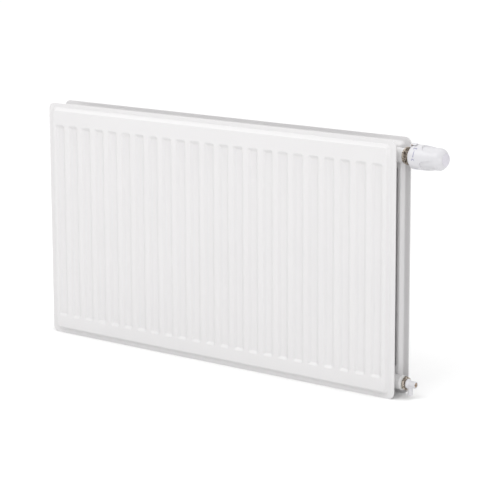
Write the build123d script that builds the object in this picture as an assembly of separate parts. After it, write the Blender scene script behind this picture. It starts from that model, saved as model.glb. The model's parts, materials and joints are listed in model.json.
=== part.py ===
from build123d import *

import os
from math import asin, degrees

# Steel panel radiator with two pressed panels and an open gap between them, a built-in
# thermostatic valve at its top right corner and a drain plug at its bottom right one.
# Millimetres, +Z up. While it is built, X = 0 is the middle of the panels' length, Y = 0 the
# middle of the gap and Z = 0 the panels' bottom edges. The front faces -Y and the valve is at
# the +X end. Everything is moved at the end so that the origin is at the centre of the bottom
# of the whole envelope.

# ---- panels ----
LENGTH = 800.0
HEIGHT = 450.0
SEAM_SPACING = 45.0  # between the seam planes of the front and the rear panel
SHEET = 1.25
OUTLINE_RADIUS = 12.0
RIM_HEIGHT = 7.5  # flat welded rim along the top and bottom edges
RIM_WIDTH = 10.5  # the same along the two ends
FIELD_RISE = 7.2  # how far the pressed field stands in front of the rim
FIELD_SLOPE_RUN = 5.5
FIELD_CORNER_RADIUS = 4.0
GROOVE_PITCH = 100.0 / 3.0
GROOVE_WIDTH = 24.0
GROOVE_DEPTH = 4.2
GROOVE_SLOPE_RUN = 6.4
GROOVE_CORNER_RADIUS = 9.0
GROOVE_TOP_MARGIN = 40.0  # from the top edge down to the grooves
GROOVE_BOTTOM_MARGIN = 35.0  # from the bottom edge up to the grooves
INNER_GROOVE_SETBACK = 12.0  # the inner sheets' grooves are shorter by this at each end
WELD_LAND_MARGIN = 0.3  # how much narrower an inner groove's floor is, each side

# ---- tees between the panels ----
TEE_RADIUS = 12.5
TEE_COLLAR_RADIUS = 13.5
TEE_COLLAR_LENGTH = 3.0
TEE_INSET = 32.5  # from the panels' ends to the tees' cross branch
TEE_PROUD = 4.5  # how far a tee's mouth stands out past the panels' ends
TEE_STUB = 15.0  # of a plain tee beyond its cross branch, inwards
TOP_AXIS_DROP = 28.0
BOTTOM_AXIS_RISE = 26.0
WATERWAY_RADIUS = 7.0
THREAD_BORE_RADIUS = 9.3  # G 1/2 internal thread, as a plain bore
THREAD_DEPTH = 18.0
THREAD_CLEARANCE = 0.1
STATIC_CLEARANCE = 0.05
RUNNING_CLEARANCE = 0.06

# ---- valve pipework between the panels ----
RETURN_INSET = 70.0  # from the valve end to the return socket's axis
CONNECTION_SPACING = 50.0
SOCKET_RADIUS = 12.9
SOCKET_MOUTH = 10.0  # height of the sockets' mouths above the bottom edges
SOCKET_LENGTH = 38.0
SOCKET_THREAD_DEPTH = 15.0
CROSS_RADIUS = 10.5
CROSS_RISE = 26.0  # from a socket's mouth up to its cross branch
RETURN_PASSAGE_RADIUS = 6.0
RISER_RADIUS = 7.5
RISER_WALL = 1.2
RISER_BEND = 30.0
RISER_INSERTION = 8.0
SEAT_SETBACK = 14.5  # from the valve tee's cross branch inwards to the seat's face
SEAT_WALL = 4.0
SEAT_ORIFICE_RADIUS = 4.5

# ---- hanging straps on the back ----
STRAP_PLATE = 2.5
STRAP_GAP = 6.5
STRAP_HEIGHT = 30.0
STRAP_INSET = 2.5  # in pitches from the panel's end to a strap's outer leg, on a land
STRAP_TOP_DROP = 110.0
STRAP_BOTTOM_RISE = 80.0

# ---- plugs ----
PLUG_WASHER = 2.5
PLUG_WASHER_RADIUS = 12.0
PLUG_HEX_FLATS = 22.0
PLUG_HEX = 5.5
PLUG_REACH = 14.0  # threaded length inside the tee
NEEDLE_RADIUS = 2.6
NEEDLE_TIP_RADIUS = 1.2
NEEDLE_TIP_LENGTH = 3.5
NEEDLE_REACH = 8.0  # from the tee's mouth in to the start of the needle's tip
SEAL_SECTION = 0.45
SEAL_GROOVE_RADIUS = 1.7
SCREW_TRAVEL = 2.0  # how far a needle screw backs out with its seal still in its bore
DRAIN_BOSS_RADIUS = 4.2
DRAIN_HUB_RADIUS = 8.5
DRAIN_HUB = 3.0
DRAIN_BARREL_RADIUS = 6.0
DRAIN_BARREL = 17.5
DRAIN_SPOUT_RADIUS = 4.5
DRAIN_SPOUT_WALL = 1.7
DRAIN_SPOUT_LENGTH = 20.0
DRAIN_SPOUT_OFFSET = 6.0  # from the plug's hex to the spout's axis
DRAIN_SCREW_SLOT = 1.2
VENT_BOSS_RADIUS = 6.0
VENT_SQUARE = 5.0
VENT_SQUARE_LENGTH = 5.0

# ---- valve insert ----
INSERT_HEX_FLATS = 27.0
INSERT_HEX = 4.0
INSERT_NECK_RADIUS = 13.9
INSERT_NECK = 6.0
INSERT_REACH = 23.5
SPRING_BORE_RADIUS = 6.0
GUIDE_WALL = 2.0
GLAND_RADIUS = 6.0
GLAND_LENGTH = 7.5
GLAND_HEAD_FLATS = 9.0
GLAND_HEAD = 1.6
GLAND_WALL = 2.5  # inner wall of the insert that the gland screws down to
GLAND_SEAL_SECTION = 0.9
SPINDLE_RADIUS = 2.0
SPINDLE_PROUD = 15.0  # how far the spindle's tip stands out of the tee
SPINDLE_COLLAR_RADIUS = 4.5
SPINDLE_COLLAR = 2.0
SPINDLE_COLLAR_SETBACK = 3.5  # from the tee's mouth in to the collar
VALVE_OPENING = 3.1  # closing travel left at rest
VALVE_OPENING_RESERVE = 0.1
DISC_RADIUS = 6.0
DISC_THICKNESS = 2.0
HOLDER_RADIUS = 6.5
HOLDER_THICKNESS = 3.0
RETURN_SPRING_WIRE = 0.5
RETURN_SPRING_RADIUS = 4.0
RETURN_SPRING_TURNS = 6.0

# ---- thermostatic head ----
NUT_RADIUS = 15.5
NUT_LENGTH = 9.0
NUT_LIP = 1.5
NUT_GAP = 0.3
BASE_FLANGE = 1.6
BASE_COLLAR_RADIUS = 17.0
BASE_COLLAR = 2.6
BASE_BORE_RADIUS = 8.0
SLEEVE_RADIUS = 14.0
SLEEVE_WALL = 2.0
SLEEVE_LENGTH = 26.0
KEYWAY_WIDTH = 5.2
KEYWAY_START = 6.0
KEY_CLEARANCE = 0.3
BEAD_HEIGHT = 1.0
HANDWHEEL_RADIUS = 21.4
HANDWHEEL_LENGTH = 63.0
HANDWHEEL_WALL = 2.0
HANDWHEEL_GAP = 0.5
SHOULDER_RADIUS = 3.2
HANDWHEEL_STRAIGHT = 13.0
BULGE_PLACE = 41.0  # from the handwheel's open end to where its taper is BULGE_RADIUS
BULGE_RADIUS = 19.4
NOSE_SLOPE = 0.62  # run along the axis for each millimetre that the radius drops at the nose
NOSE_RADIUS = 11.0
CAP_DOME = 3.2
CAP_EDGE = 0.8  # straight rim under the cap's dome
SCOOP_COUNT = 3
SCOOP_START = 20.0  # from the handwheel's open end to the scoops' round ends
SCOOP_WIDTH = 18.0
SCOOP_DEPTH = 1.6
SCOOP_TILT = 7.0
POINTER_ANGLE = 103.0  # from +Y towards +Z
POINTER_WIDTH = 8.0
POINTER_RISE = 2.1
POINTER_PLATE = 1.5
POINTER_REACH = 9.5
LIMITER_PIN_RADIUS = 0.5
LIMITER_PIN_LENGTH = 3.0
LIMITER_HEAD_RADIUS = 1.1
LIMITER_HEAD = 1.0
LIMITER_SETBACK = 1.9  # from the collar's face to the limiter pin
THREAD_ZONE_RADIUS = 16.2
THREAD_ZONE_START = 5.0
THREAD_ZONE_LENGTH = 16.0
KEY_LENGTH = 4.0
CARRIER_FLOOR = 2.0
CARRIER_LENGTH = 20.0
CARRIER_START = 10.0  # from the handwheel's open end
CAPSULE_RADIUS = 9.6
CAPSULE_LENGTH = 32.0
RETAINER_LENGTH = 21.0
RETAINER_WALL = 1.5
OVERTRAVEL_SPRING_WIRE = 0.7
OVERTRAVEL_SPRING_RADIUS = 6.5
OVERTRAVEL_SPRING_TURNS = 3.5
PUSH_PIN_RADIUS = 2.5

# ---- places worked out from the sizes above ----
HALF_LENGTH = LENGTH / 2
FIELD_FACE = SEAM_SPACING / 2 + FIELD_RISE + SHEET  # outermost faces of the two panels
GAP_FACE = SEAM_SPACING / 2 - FIELD_RISE - SHEET  # the faces that bound the gap
TEE_X = HALF_LENGTH - TEE_INSET
MOUTH_X = HALF_LENGTH + TEE_PROUD
TOP_AXIS = HEIGHT - TOP_AXIS_DROP
BOTTOM_AXIS = BOTTOM_AXIS_RISE
GROOVE_COUNT = round(LENGTH / GROOVE_PITCH) - 1
PITCH = LENGTH / (GROOVE_COUNT + 1)
RETURN_X = HALF_LENGTH - RETURN_INSET
FLOW_X = RETURN_X - CONNECTION_SPACING
SEAT_X = TEE_X - SEAT_SETBACK
CUT_MARGIN = 1.0


# ---- shape helpers ----
def turned(*outline):
    """Solid of revolution about X through the points (x, radius)."""
    return revolve(make_face(Polyline(*outline, close=True)), axis=Axis.X)


def rod(start, end, radius):
    return turned((start, 0), (end, 0), (end, radius), (start, radius))


def ring(start, end, inner, outer):
    return turned((start, inner), (end, inner), (end, outer), (start, outer))


def o_ring(centre, radius, section):
    return Pos(centre, 0, 0) * Rot(0, 90, 0) * Torus(radius, section)


def hexagon(start, end, across_flats):
    outline = RegularPolygon(across_flats / 2, 6, major_radius=False)
    return extrude(Plane.YZ.offset(start) * outline, end - start)


def coil(start, end, radius, wire, turns):
    """Open coil spring along X whose wire stays between start and end."""
    length = end - start - 2 * wire
    path = Helix(length / turns, length, radius)
    wire_face = Plane(path @ 0, z_dir=path % 0) * Circle(wire)
    return Pos(start + wire, 0, 0) * Rot(0, 90, 0) * sweep(wire_face, path=path)


def at_valve_end(height):
    return Location((MOUTH_X, 0, height))


def at_left_end(height):
    return Location((-MOUTH_X, 0, height), (0, 0, 180))


# ---- pressed sheets ----
def rounded_frustum(low, high, width, depth, radius, draft):
    """Frustum between two levels whose sides draw in by draft, from a rounded rectangle."""
    low_face = Plane.XY.offset(low) * RectangleRounded(width, depth, radius)
    high_size = (width - 2 * draft, depth - 2 * draft)
    high_radius = radius - draft
    high_face = Plane.XY.offset(high) * RectangleRounded(*high_size, high_radius)
    return loft([low_face, high_face])


def groove_cutter(level, depth, bottom_margin, top_margin, run):
    """One groove that opens at a level and tapers down to its floor."""
    slope = run / depth
    overrun = slope * CUT_MARGIN
    height = HEIGHT - bottom_margin - top_margin
    centre = (bottom_margin - top_margin) / 2
    cutter = rounded_frustum(
        0,
        -(depth + CUT_MARGIN),
        GROOVE_WIDTH + 2 * overrun,
        height + 2 * overrun,
        GROOVE_CORNER_RADIUS + overrun,
        run + overrun,
    )
    return Pos(0, centre, level + CUT_MARGIN) * cutter


def pressing(level, depth, setback, run, oversize):
    """Everything under a pressed sheet's surface when its rim lies at a level."""
    floor_level = -(depth + 2 * CUT_MARGIN)
    blank = RectangleRounded(
        LENGTH + 2 * oversize, HEIGHT + 2 * oversize, OUTLINE_RADIUS + oversize
    )
    block = extrude(Plane.XY.offset(floor_level) * blank, level - floor_level)
    field = rounded_frustum(
        level,
        level + FIELD_RISE,
        LENGTH - 2 * RIM_WIDTH,
        HEIGHT - 2 * RIM_HEIGHT,
        FIELD_CORNER_RADIUS + FIELD_SLOPE_RUN,
        FIELD_SLOPE_RUN,
    )
    groove = groove_cutter(
        level + FIELD_RISE,
        depth,
        GROOVE_BOTTOM_MARGIN + setback,
        GROOVE_TOP_MARGIN + setback,
        run,
    )
    centres = [PITCH * (index + 1) - HALF_LENGTH for index in range(GROOVE_COUNT)]
    return block + field - [Pos(x, 0, 0) * groove for x in centres]


def pressed_sheet(depth, setback=0.0, run=GROOVE_SLOPE_RUN):
    upper = pressing(SHEET, depth, setback, run, 0.0)
    lower = pressing(0.0, depth, setback, run, 2 * CUT_MARGIN)
    return upper - lower


def waterways():
    """Holes through an inner sheet for the four tees and the return tee."""
    spots = [(side * TEE_X, height) for side in (-1, 1) for height in (BOTTOM_AXIS, TOP_AXIS)]
    spots.append((RETURN_X, SOCKET_MOUTH + CROSS_RISE))
    drill = Cylinder(WATERWAY_RADIUS, 4 * FIELD_FACE)
    return [Pos(x, height - HEIGHT / 2, 0) * drill for x, height in spots]


def panel_sheets():
    # The inner sheets' grooves are pressed past the seam, down to the outer sheets' floors,
    # where the two are welded and divide the panel into upright water channels.
    outer = pressed_sheet(GROOVE_DEPTH)
    inner = pressed_sheet(
        2 * FIELD_RISE - GROOVE_DEPTH,
        INNER_GROOVE_SETBACK,
        GROOVE_SLOPE_RUN + WELD_LAND_MARGIN,
    )
    inner = inner - waterways()
    front_seam = (0, -SEAM_SPACING / 2, HEIGHT / 2)
    rear_seam = (0, SEAM_SPACING / 2, HEIGHT / 2)
    forwards = {"x_dir": (1, 0, 0), "z_dir": (0, -1, 0)}
    backwards = {"x_dir": (-1, 0, 0), "z_dir": (0, 1, 0)}
    # Waterways are drilled in the sheet's own left and right, so the sheets that face
    # backwards get them mirrored.
    mirrored = mirror(inner, about=Plane.YZ)
    return {
        "front_panel_outer_sheet": Plane(front_seam, **forwards) * outer,
        "front_panel_inner_sheet": Plane(front_seam, **backwards) * mirrored,
        "rear_panel_inner_sheet": Plane(rear_seam, **forwards) * inner,
        "rear_panel_outer_sheet": Plane(rear_seam, **backwards) * outer,
    }


# ---- tees and pipework in the gap ----
def cross_branch(radius, collar):
    """Branch along Y from one inner sheet to the other, with a weld collar at each end."""
    collar_start = GAP_FACE - TEE_COLLAR_LENGTH
    outline = [
        (-GAP_FACE, 0),
        (GAP_FACE, 0),
        (GAP_FACE, collar),
        (collar_start, radius),
        (-collar_start, radius),
        (-GAP_FACE, collar),
    ]
    return Rot(0, 0, 90) * turned(*outline)


def cross_bore():
    return Rot(0, 0, 90) * rod(-2 * GAP_FACE, 2 * GAP_FACE, WATERWAY_RADIUS)


def plain_tee():
    """Tee with its mouth at the origin, running inwards along -X."""
    cross_x = -(TEE_INSET + TEE_PROUD)
    end = cross_x - TEE_STUB
    body = rod(end, 0, TEE_RADIUS) + Pos(cross_x, 0, 0) * cross_branch(
        TEE_RADIUS, TEE_COLLAR_RADIUS
    )
    body = body - rod(-THREAD_DEPTH, 0, THREAD_BORE_RADIUS)
    body = body - rod(cross_x, 0, WATERWAY_RADIUS)
    return body - Pos(cross_x, 0, 0) * cross_bore()


def valve_tee():
    """Tee with the valve seat between its cross branch and the riser's socket."""
    cross_x = TEE_X - MOUTH_X
    seat = SEAT_X - MOUTH_X
    end = seat - SEAT_WALL - RISER_INSERTION
    body = rod(end, 0, TEE_RADIUS) + Pos(cross_x, 0, 0) * cross_branch(
        TEE_RADIUS, TEE_COLLAR_RADIUS
    )
    body = body - rod(seat, 0, THREAD_BORE_RADIUS)
    body = body - rod(end, seat, SEAT_ORIFICE_RADIUS)
    body = body - rod(end, end + RISER_INSERTION, RISER_RADIUS + STATIC_CLEARANCE)
    return body - Pos(cross_x, 0, 0) * cross_bore()


def socket_blank():
    """Upright connection socket, mouth down at z = 0, with a G 1/2 bore."""
    body = Pos(0, 0, SOCKET_LENGTH / 2) * Cylinder(SOCKET_RADIUS, SOCKET_LENGTH)
    body = body + Pos(0, 0, CROSS_RISE) * cross_branch(CROSS_RADIUS, CROSS_RADIUS)
    bore = Cylinder(THREAD_BORE_RADIUS, SOCKET_THREAD_DEPTH)
    return body - Pos(0, 0, SOCKET_THREAD_DEPTH / 2) * bore


def flow_socket():
    """Carries the riser. Its cross branch is blind, so no water enters the panels here."""
    passage = RISER_RADIUS - RISER_WALL
    seat = SOCKET_LENGTH - RISER_INSERTION
    through = Pos(0, 0, SOCKET_LENGTH / 2) * Cylinder(passage, SOCKET_LENGTH)
    tube_seat = Cylinder(RISER_RADIUS + STATIC_CLEARANCE, RISER_INSERTION)
    body = socket_blank() - through
    body = body - Pos(0, 0, seat + RISER_INSERTION / 2) * tube_seat
    return Pos(FLOW_X, 0, SOCKET_MOUTH) * body


def return_tee():
    """Collects the water of both panels and lets it down to the return pipe."""
    passage = Pos(0, 0, CROSS_RISE / 2) * Cylinder(RETURN_PASSAGE_RADIUS, CROSS_RISE)
    body = socket_blank() - Pos(0, 0, CROSS_RISE) * cross_bore() - passage
    return Pos(RETURN_X, 0, SOCKET_MOUTH) * body


def riser_tube():
    """Tube from the flow socket up the gap and round into the valve tee."""
    foot = SOCKET_MOUTH + SOCKET_LENGTH - RISER_INSERTION
    tip = SEAT_X - SEAT_WALL
    route = FilletPolyline(
        (FLOW_X, 0, foot), (FLOW_X, 0, TOP_AXIS), (tip, 0, TOP_AXIS), radius=RISER_BEND
    )
    start = Plane((FLOW_X, 0, foot), z_dir=(0, 0, 1))
    wall = Circle(RISER_RADIUS) - Circle(RISER_RADIUS - RISER_WALL)
    return sweep(start * wall, path=route)


def hanging_straps():
    """Four channels welded on lands of the rear sheet, which wall brackets hook behind."""
    outer_leg = HALF_LENGTH - STRAP_INSET * PITCH
    legs_x = (outer_leg - PITCH, outer_leg)
    middle = sum(legs_x) / 2
    span = legs_x[1] - legs_x[0] + STRAP_PLATE
    web_y = FIELD_FACE + STRAP_GAP
    web = Pos(middle, web_y + STRAP_PLATE / 2, 0) * Box(span, STRAP_PLATE, STRAP_HEIGHT)
    leg = Box(STRAP_PLATE, STRAP_GAP, STRAP_HEIGHT)
    strap = web + [Pos(x, FIELD_FACE + STRAP_GAP / 2, 0) * leg for x in legs_x]
    heights = (HEIGHT - STRAP_TOP_DROP, STRAP_BOTTOM_RISE)
    return [
        Pos(shift, 0, height) * strap for shift in (0, -2 * middle) for height in heights
    ]


# ---- plugs, built with the tee's mouth at x = 0 and running outwards along +X ----
def plug_washer():
    return ring(0, PLUG_WASHER, THREAD_BORE_RADIUS, PLUG_WASHER_RADIUS)


def plug_blank():
    thread = rod(-PLUG_REACH, PLUG_WASHER, THREAD_BORE_RADIUS - THREAD_CLEARANCE)
    return thread + hexagon(PLUG_WASHER, PLUG_WASHER + PLUG_HEX, PLUG_HEX_FLATS)


def blanking_plug():
    key_flats = 10.0
    key_depth = 6.0
    face = PLUG_WASHER + PLUG_HEX
    return plug_blank() - hexagon(face - key_depth, face, key_flats)


def needle_bore(end):
    """Bore that a needle screw runs in, with its seat and the inlet beyond it."""
    seat = -NEEDLE_REACH
    tip = seat - NEEDLE_TIP_LENGTH
    bore = NEEDLE_RADIUS + RUNNING_CLEARANCE
    inlet = NEEDLE_TIP_RADIUS + RUNNING_CLEARANCE
    return turned(
        (-PLUG_REACH, 0), (end, 0), (end, bore), (seat, bore), (tip, inlet), (-PLUG_REACH, inlet)
    )


def needle(end, seal_x):
    """Needle screw's stem, with the groove of its seal."""
    seat = -NEEDLE_REACH
    tip = seat - NEEDLE_TIP_LENGTH
    half_groove = SEAL_SECTION + RUNNING_CLEARANCE
    return turned(
        (tip, 0),
        (end, 0),
        (end, NEEDLE_RADIUS),
        (seal_x + half_groove, NEEDLE_RADIUS),
        (seal_x + half_groove, SEAL_GROOVE_RADIUS),
        (seal_x - half_groove, SEAL_GROOVE_RADIUS),
        (seal_x - half_groove, NEEDLE_RADIUS),
        (seat, NEEDLE_RADIUS),
        (tip, NEEDLE_TIP_RADIUS),
    )


def needle_seal(seal_x):
    return o_ring(seal_x, SEAL_GROOVE_RADIUS + RUNNING_CLEARANCE + SEAL_SECTION, SEAL_SECTION)


def boss_past_seal(seal_x):
    """End of the boss that holds a needle's seal over the screw's whole travel."""
    return seal_x + SCREW_TRAVEL + 2 * SEAL_SECTION


def drain_parts():
    face = PLUG_WASHER + PLUG_HEX
    barrel_end = face + DRAIN_BARREL
    spout_x = face + DRAIN_SPOUT_OFFSET
    outlet = DRAIN_SPOUT_RADIUS - DRAIN_SPOUT_WALL
    port_radius = 1.3
    port_groove = 0.8
    port_groove_half = 1.8
    seal_x = spout_x + port_groove_half + SEAL_SECTION
    boss_end = boss_past_seal(seal_x)

    body = plug_blank() + rod(face, boss_end, DRAIN_BOSS_RADIUS)
    body = body - ring(
        spout_x - port_groove_half,
        spout_x + port_groove_half,
        DRAIN_BOSS_RADIUS - port_groove,
        DRAIN_BOSS_RADIUS + CUT_MARGIN,
    )
    body = body - needle_bore(boss_end + CUT_MARGIN)
    port = Cylinder(port_radius, DRAIN_BOSS_RADIUS + CUT_MARGIN)
    body = body - Pos(spout_x, 0, -(DRAIN_BOSS_RADIUS + CUT_MARGIN) / 2) * port

    cone_end = face + DRAIN_HUB + (DRAIN_HUB_RADIUS - DRAIN_BARREL_RADIUS)
    start = face + HANDWHEEL_GAP
    barrel = turned(
        (start, 0),
        (barrel_end, 0),
        (barrel_end, DRAIN_BARREL_RADIUS),
        (cone_end, DRAIN_BARREL_RADIUS),
        (face + DRAIN_HUB, DRAIN_HUB_RADIUS),
        (start, DRAIN_HUB_RADIUS),
    )
    tube = Cylinder(DRAIN_SPOUT_RADIUS, DRAIN_SPOUT_LENGTH)
    passage = Cylinder(outlet, DRAIN_SPOUT_LENGTH)
    down = Pos(spout_x, 0, -DRAIN_SPOUT_LENGTH / 2)
    barrel_bore = DRAIN_BOSS_RADIUS + RUNNING_CLEARANCE
    spout = barrel + down * tube - down * passage
    spout = spout - rod(start, barrel_end, barrel_bore)

    head_start = boss_end + HANDWHEEL_GAP
    head_radius = barrel_bore - THREAD_CLEARANCE
    screw = needle(head_start, seal_x) + rod(head_start, barrel_end, head_radius)
    slot = Box(2 * DRAIN_SCREW_SLOT, DRAIN_SCREW_SLOT, 2 * DRAIN_BARREL_RADIUS)
    screw = screw - Pos(barrel_end, 0, 0) * slot
    return {
        "drain_plug_washer": plug_washer(),
        "drain_plug_body": body,
        "drain_spout": spout,
        "drain_screw": screw,
        "drain_screw_seal": needle_seal(seal_x),
    }


def vent_parts():
    face = PLUG_WASHER + PLUG_HEX
    seal_x = face + SEAL_SECTION
    boss_end = boss_past_seal(seal_x)
    vent_hole_radius = 0.9
    body = plug_blank() + rod(face, boss_end, VENT_BOSS_RADIUS)
    body = body - needle_bore(boss_end + CUT_MARGIN)
    side_hole = Cylinder(vent_hole_radius, PLUG_HEX_FLATS)
    body = body - Pos(PLUG_WASHER + PLUG_HEX / 2, 0, -PLUG_HEX_FLATS / 2) * side_hole
    head_start = boss_end + HANDWHEEL_GAP
    square_face = Plane.YZ.offset(head_start) * Rectangle(VENT_SQUARE, VENT_SQUARE)
    screw = needle(head_start, seal_x) + extrude(square_face, VENT_SQUARE_LENGTH)
    return {
        "vent_plug_washer": plug_washer(),
        "vent_plug_body": body,
        "vent_screw": screw,
        "vent_screw_seal": needle_seal(seal_x),
    }


# ---- valve insert, built with the valve tee's mouth at x = 0 ----
SPRING_START = GUIDE_WALL - INSERT_REACH
COLLAR_X = -(SPINDLE_COLLAR_SETBACK + SPINDLE_COLLAR)
NECK_END = INSERT_HEX + INSERT_NECK
GLAND_SEAL_X = NECK_END - GLAND_LENGTH + GLAND_SEAL_SECTION + STATIC_CLEARANCE
SPRING_BORE_END = NECK_END - GLAND_LENGTH - GLAND_WALL
INSERT_SEAL_X = -2.5
INSERT_SEAL_SECTION = 0.5


def valve_insert_parts():
    thread = THREAD_BORE_RADIUS - THREAD_CLEARANCE
    seal_floor = thread - 2 * INSERT_SEAL_SECTION
    guide_bore = SPINDLE_RADIUS + RUNNING_CLEARANCE
    gland_bore = GLAND_RADIUS + THREAD_CLEARANCE
    body = rod(-INSERT_REACH, 0, thread) + hexagon(0, INSERT_HEX, INSERT_HEX_FLATS)
    body = body + rod(INSERT_HEX, NECK_END, INSERT_NECK_RADIUS)
    body = body - rod(-INSERT_REACH, NECK_END, guide_bore)
    body = body - rod(SPRING_START, SPRING_BORE_END, SPRING_BORE_RADIUS)
    body = body - rod(NECK_END - GLAND_LENGTH, NECK_END, gland_bore)
    seal_half = INSERT_SEAL_SECTION + STATIC_CLEARANCE
    body = body - ring(
        INSERT_SEAL_X - seal_half, INSERT_SEAL_X + seal_half, seal_floor, thread + CUT_MARGIN
    )
    insert_seal = o_ring(
        INSERT_SEAL_X, seal_floor + INSERT_SEAL_SECTION + STATIC_CLEARANCE, INSERT_SEAL_SECTION
    )

    seal_pocket = SPINDLE_RADIUS + 2 * (GLAND_SEAL_SECTION + RUNNING_CLEARANCE)
    pocket_end = NECK_END - GLAND_LENGTH + 2 * (GLAND_SEAL_SECTION + STATIC_CLEARANCE)
    gland = rod(NECK_END - GLAND_LENGTH, NECK_END, GLAND_RADIUS)
    gland = gland + hexagon(NECK_END, NECK_END + GLAND_HEAD, GLAND_HEAD_FLATS)
    gland = gland - rod(NECK_END - GLAND_LENGTH, NECK_END + GLAND_HEAD, guide_bore)
    gland = gland - rod(NECK_END - GLAND_LENGTH, pocket_end, seal_pocket)
    gland_seal = o_ring(
        GLAND_SEAL_X, SPINDLE_RADIUS + RUNNING_CLEARANCE + GLAND_SEAL_SECTION, GLAND_SEAL_SECTION
    )
    spring = coil(
        SPRING_START, COLLAR_X, RETURN_SPRING_RADIUS, RETURN_SPRING_WIRE, RETURN_SPRING_TURNS
    )

    disc_x = SEAT_X - MOUTH_X + VALVE_OPENING + VALVE_OPENING_RESERVE
    holder_x = disc_x + DISC_THICKNESS
    stem_x = holder_x + HOLDER_THICKNESS
    spindle = rod(stem_x, SPINDLE_PROUD, SPINDLE_RADIUS)
    spindle = spindle + rod(COLLAR_X, COLLAR_X + SPINDLE_COLLAR, SPINDLE_COLLAR_RADIUS)
    return {
        "valve_insert_body": body,
        "valve_insert_seal": insert_seal,
        "gland_nut": gland,
        "gland_seal": gland_seal,
        "valve_return_spring": spring,
        "valve_spindle": spindle,
        "valve_disc_holder": rod(holder_x, stem_x, HOLDER_RADIUS),
        "valve_disc": rod(disc_x, holder_x, DISC_RADIUS),
    }


# ---- thermostatic head, built with the valve tee's mouth at x = 0 ----
NUT_START = INSERT_HEX + NUT_GAP
NUT_END = NUT_START + NUT_LENGTH
BASE_START = NECK_END + STATIC_CLEARANCE
COLLAR_END = NUT_END + STATIC_CLEARANCE + BASE_COLLAR
WHEEL_START = COLLAR_END + HANDWHEEL_GAP
WHEEL_END = WHEEL_START + HANDWHEEL_LENGTH


def head_union_nut():
    lip_start = NUT_END - NUT_LIP
    thread = INSERT_NECK_RADIUS + THREAD_CLEARANCE
    hole = thread - BASE_FLANGE
    nut = rod(NUT_START, NUT_END, NUT_RADIUS) - rod(NUT_START, lip_start, thread)
    return nut - rod(lip_start, NUT_END, hole)


def around(angle):
    """Turns what stands at +Y, seen along the valve's axis, to an angle towards +Z."""
    return Rot(angle, 0, 0)


def head_base():
    """Fixed base of the head: flange in the nut, collar, keyed sleeve and pointer."""
    thread = INSERT_NECK_RADIUS + THREAD_CLEARANCE
    neck = thread - BASE_FLANGE - STATIC_CLEARANCE
    flange_end = NUT_END - NUT_LIP - STATIC_CLEARANCE
    collar_start = NUT_END + STATIC_CLEARANCE
    sleeve_end = COLLAR_END + SLEEVE_LENGTH
    base = rod(BASE_START, flange_end, thread - STATIC_CLEARANCE)
    base = base + rod(flange_end, collar_start, neck)
    base = base + rod(collar_start, COLLAR_END, BASE_COLLAR_RADIUS)
    base = base + rod(COLLAR_END, sleeve_end, SLEEVE_RADIUS)
    base = base - rod(BASE_START, sleeve_end, BASE_BORE_RADIUS)
    base = base - rod(COLLAR_END, sleeve_end, SLEEVE_RADIUS - SLEEVE_WALL)
    bead_start = WHEEL_START + HANDWHEEL_WALL + HANDWHEEL_GAP
    base = base + ring(
        bead_start,
        bead_start + BEAD_HEIGHT,
        SLEEVE_RADIUS - SLEEVE_WALL / 2,
        SLEEVE_RADIUS + BEAD_HEIGHT,
    )
    slot_length = SLEEVE_LENGTH - KEYWAY_START
    slot = Box(slot_length, 4 * SLEEVE_RADIUS, KEYWAY_WIDTH)
    base = base - Pos(sleeve_end - slot_length / 2, 0, 0) * slot

    rim = HANDWHEEL_RADIUS + POINTER_RISE
    under = rim - POINTER_PLATE
    root_depth = under - SLEEVE_RADIUS
    root = Box(BASE_COLLAR, root_depth + POINTER_PLATE, POINTER_WIDTH)
    root = Pos(COLLAR_END - BASE_COLLAR / 2, rim - root_depth / 2 - POINTER_PLATE / 2, 0) * root
    tab = Box(POINTER_REACH, POINTER_PLATE, POINTER_WIDTH)
    tab = Pos(COLLAR_END + POINTER_REACH / 2, rim - POINTER_PLATE / 2, 0) * tab
    pointer = root + tab - rod(0, sleeve_end, SLEEVE_RADIUS)
    pin_hole = Cylinder(LIMITER_PIN_RADIUS + STATIC_CLEARANCE, 2 * LIMITER_PIN_LENGTH)
    pointer = pointer - pointer_flank() * pin_hole
    return base + around(POINTER_ANGLE) * pointer


def pointer_flank():
    """Middle of the pointer's front flank, before the pointer is turned to its angle."""
    rim = HANDWHEEL_RADIUS + POINTER_RISE
    return Pos(COLLAR_END + LIMITER_SETBACK, rim - POINTER_PLATE / 2, POINTER_WIDTH / 2)


def limiter_pin():
    """Headed pin that limits the dial, parked in the pointer's flank."""
    shank = Pos(0, 0, -LIMITER_PIN_LENGTH / 2) * Cylinder(LIMITER_PIN_RADIUS, LIMITER_PIN_LENGTH)
    head = Pos(0, 0, LIMITER_HEAD / 2) * Cylinder(LIMITER_HEAD_RADIUS, LIMITER_HEAD)
    return around(POINTER_ANGLE) * pointer_flank() * (shank + head)


def wheel_solid(inset):
    """Bullet shape of the handwheel, drawn in by inset."""
    radius = HANDWHEEL_RADIUS - inset
    shoulder = SHOULDER_RADIUS
    start = WHEEL_START + inset
    straight = WHEEL_START + HANDWHEEL_STRAIGHT
    nose = NOSE_RADIUS - inset
    corner = RadiusArc((start, radius - shoulder), (start + shoulder, radius), shoulder)
    side = Line((start + shoulder, radius), (straight, radius))
    taper = Spline(
        (straight, radius),
        (WHEEL_START + BULGE_PLACE, BULGE_RADIUS - inset),
        (WHEEL_END, nose),
        tangents=((1, 0), (NOSE_SLOPE, -1)),
    )
    ends = Polyline((WHEEL_END, nose), (WHEEL_END, 0), (start, 0), (start, radius - shoulder))
    return revolve(make_face([corner, side, taper, ends]), axis=Axis.X)


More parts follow.
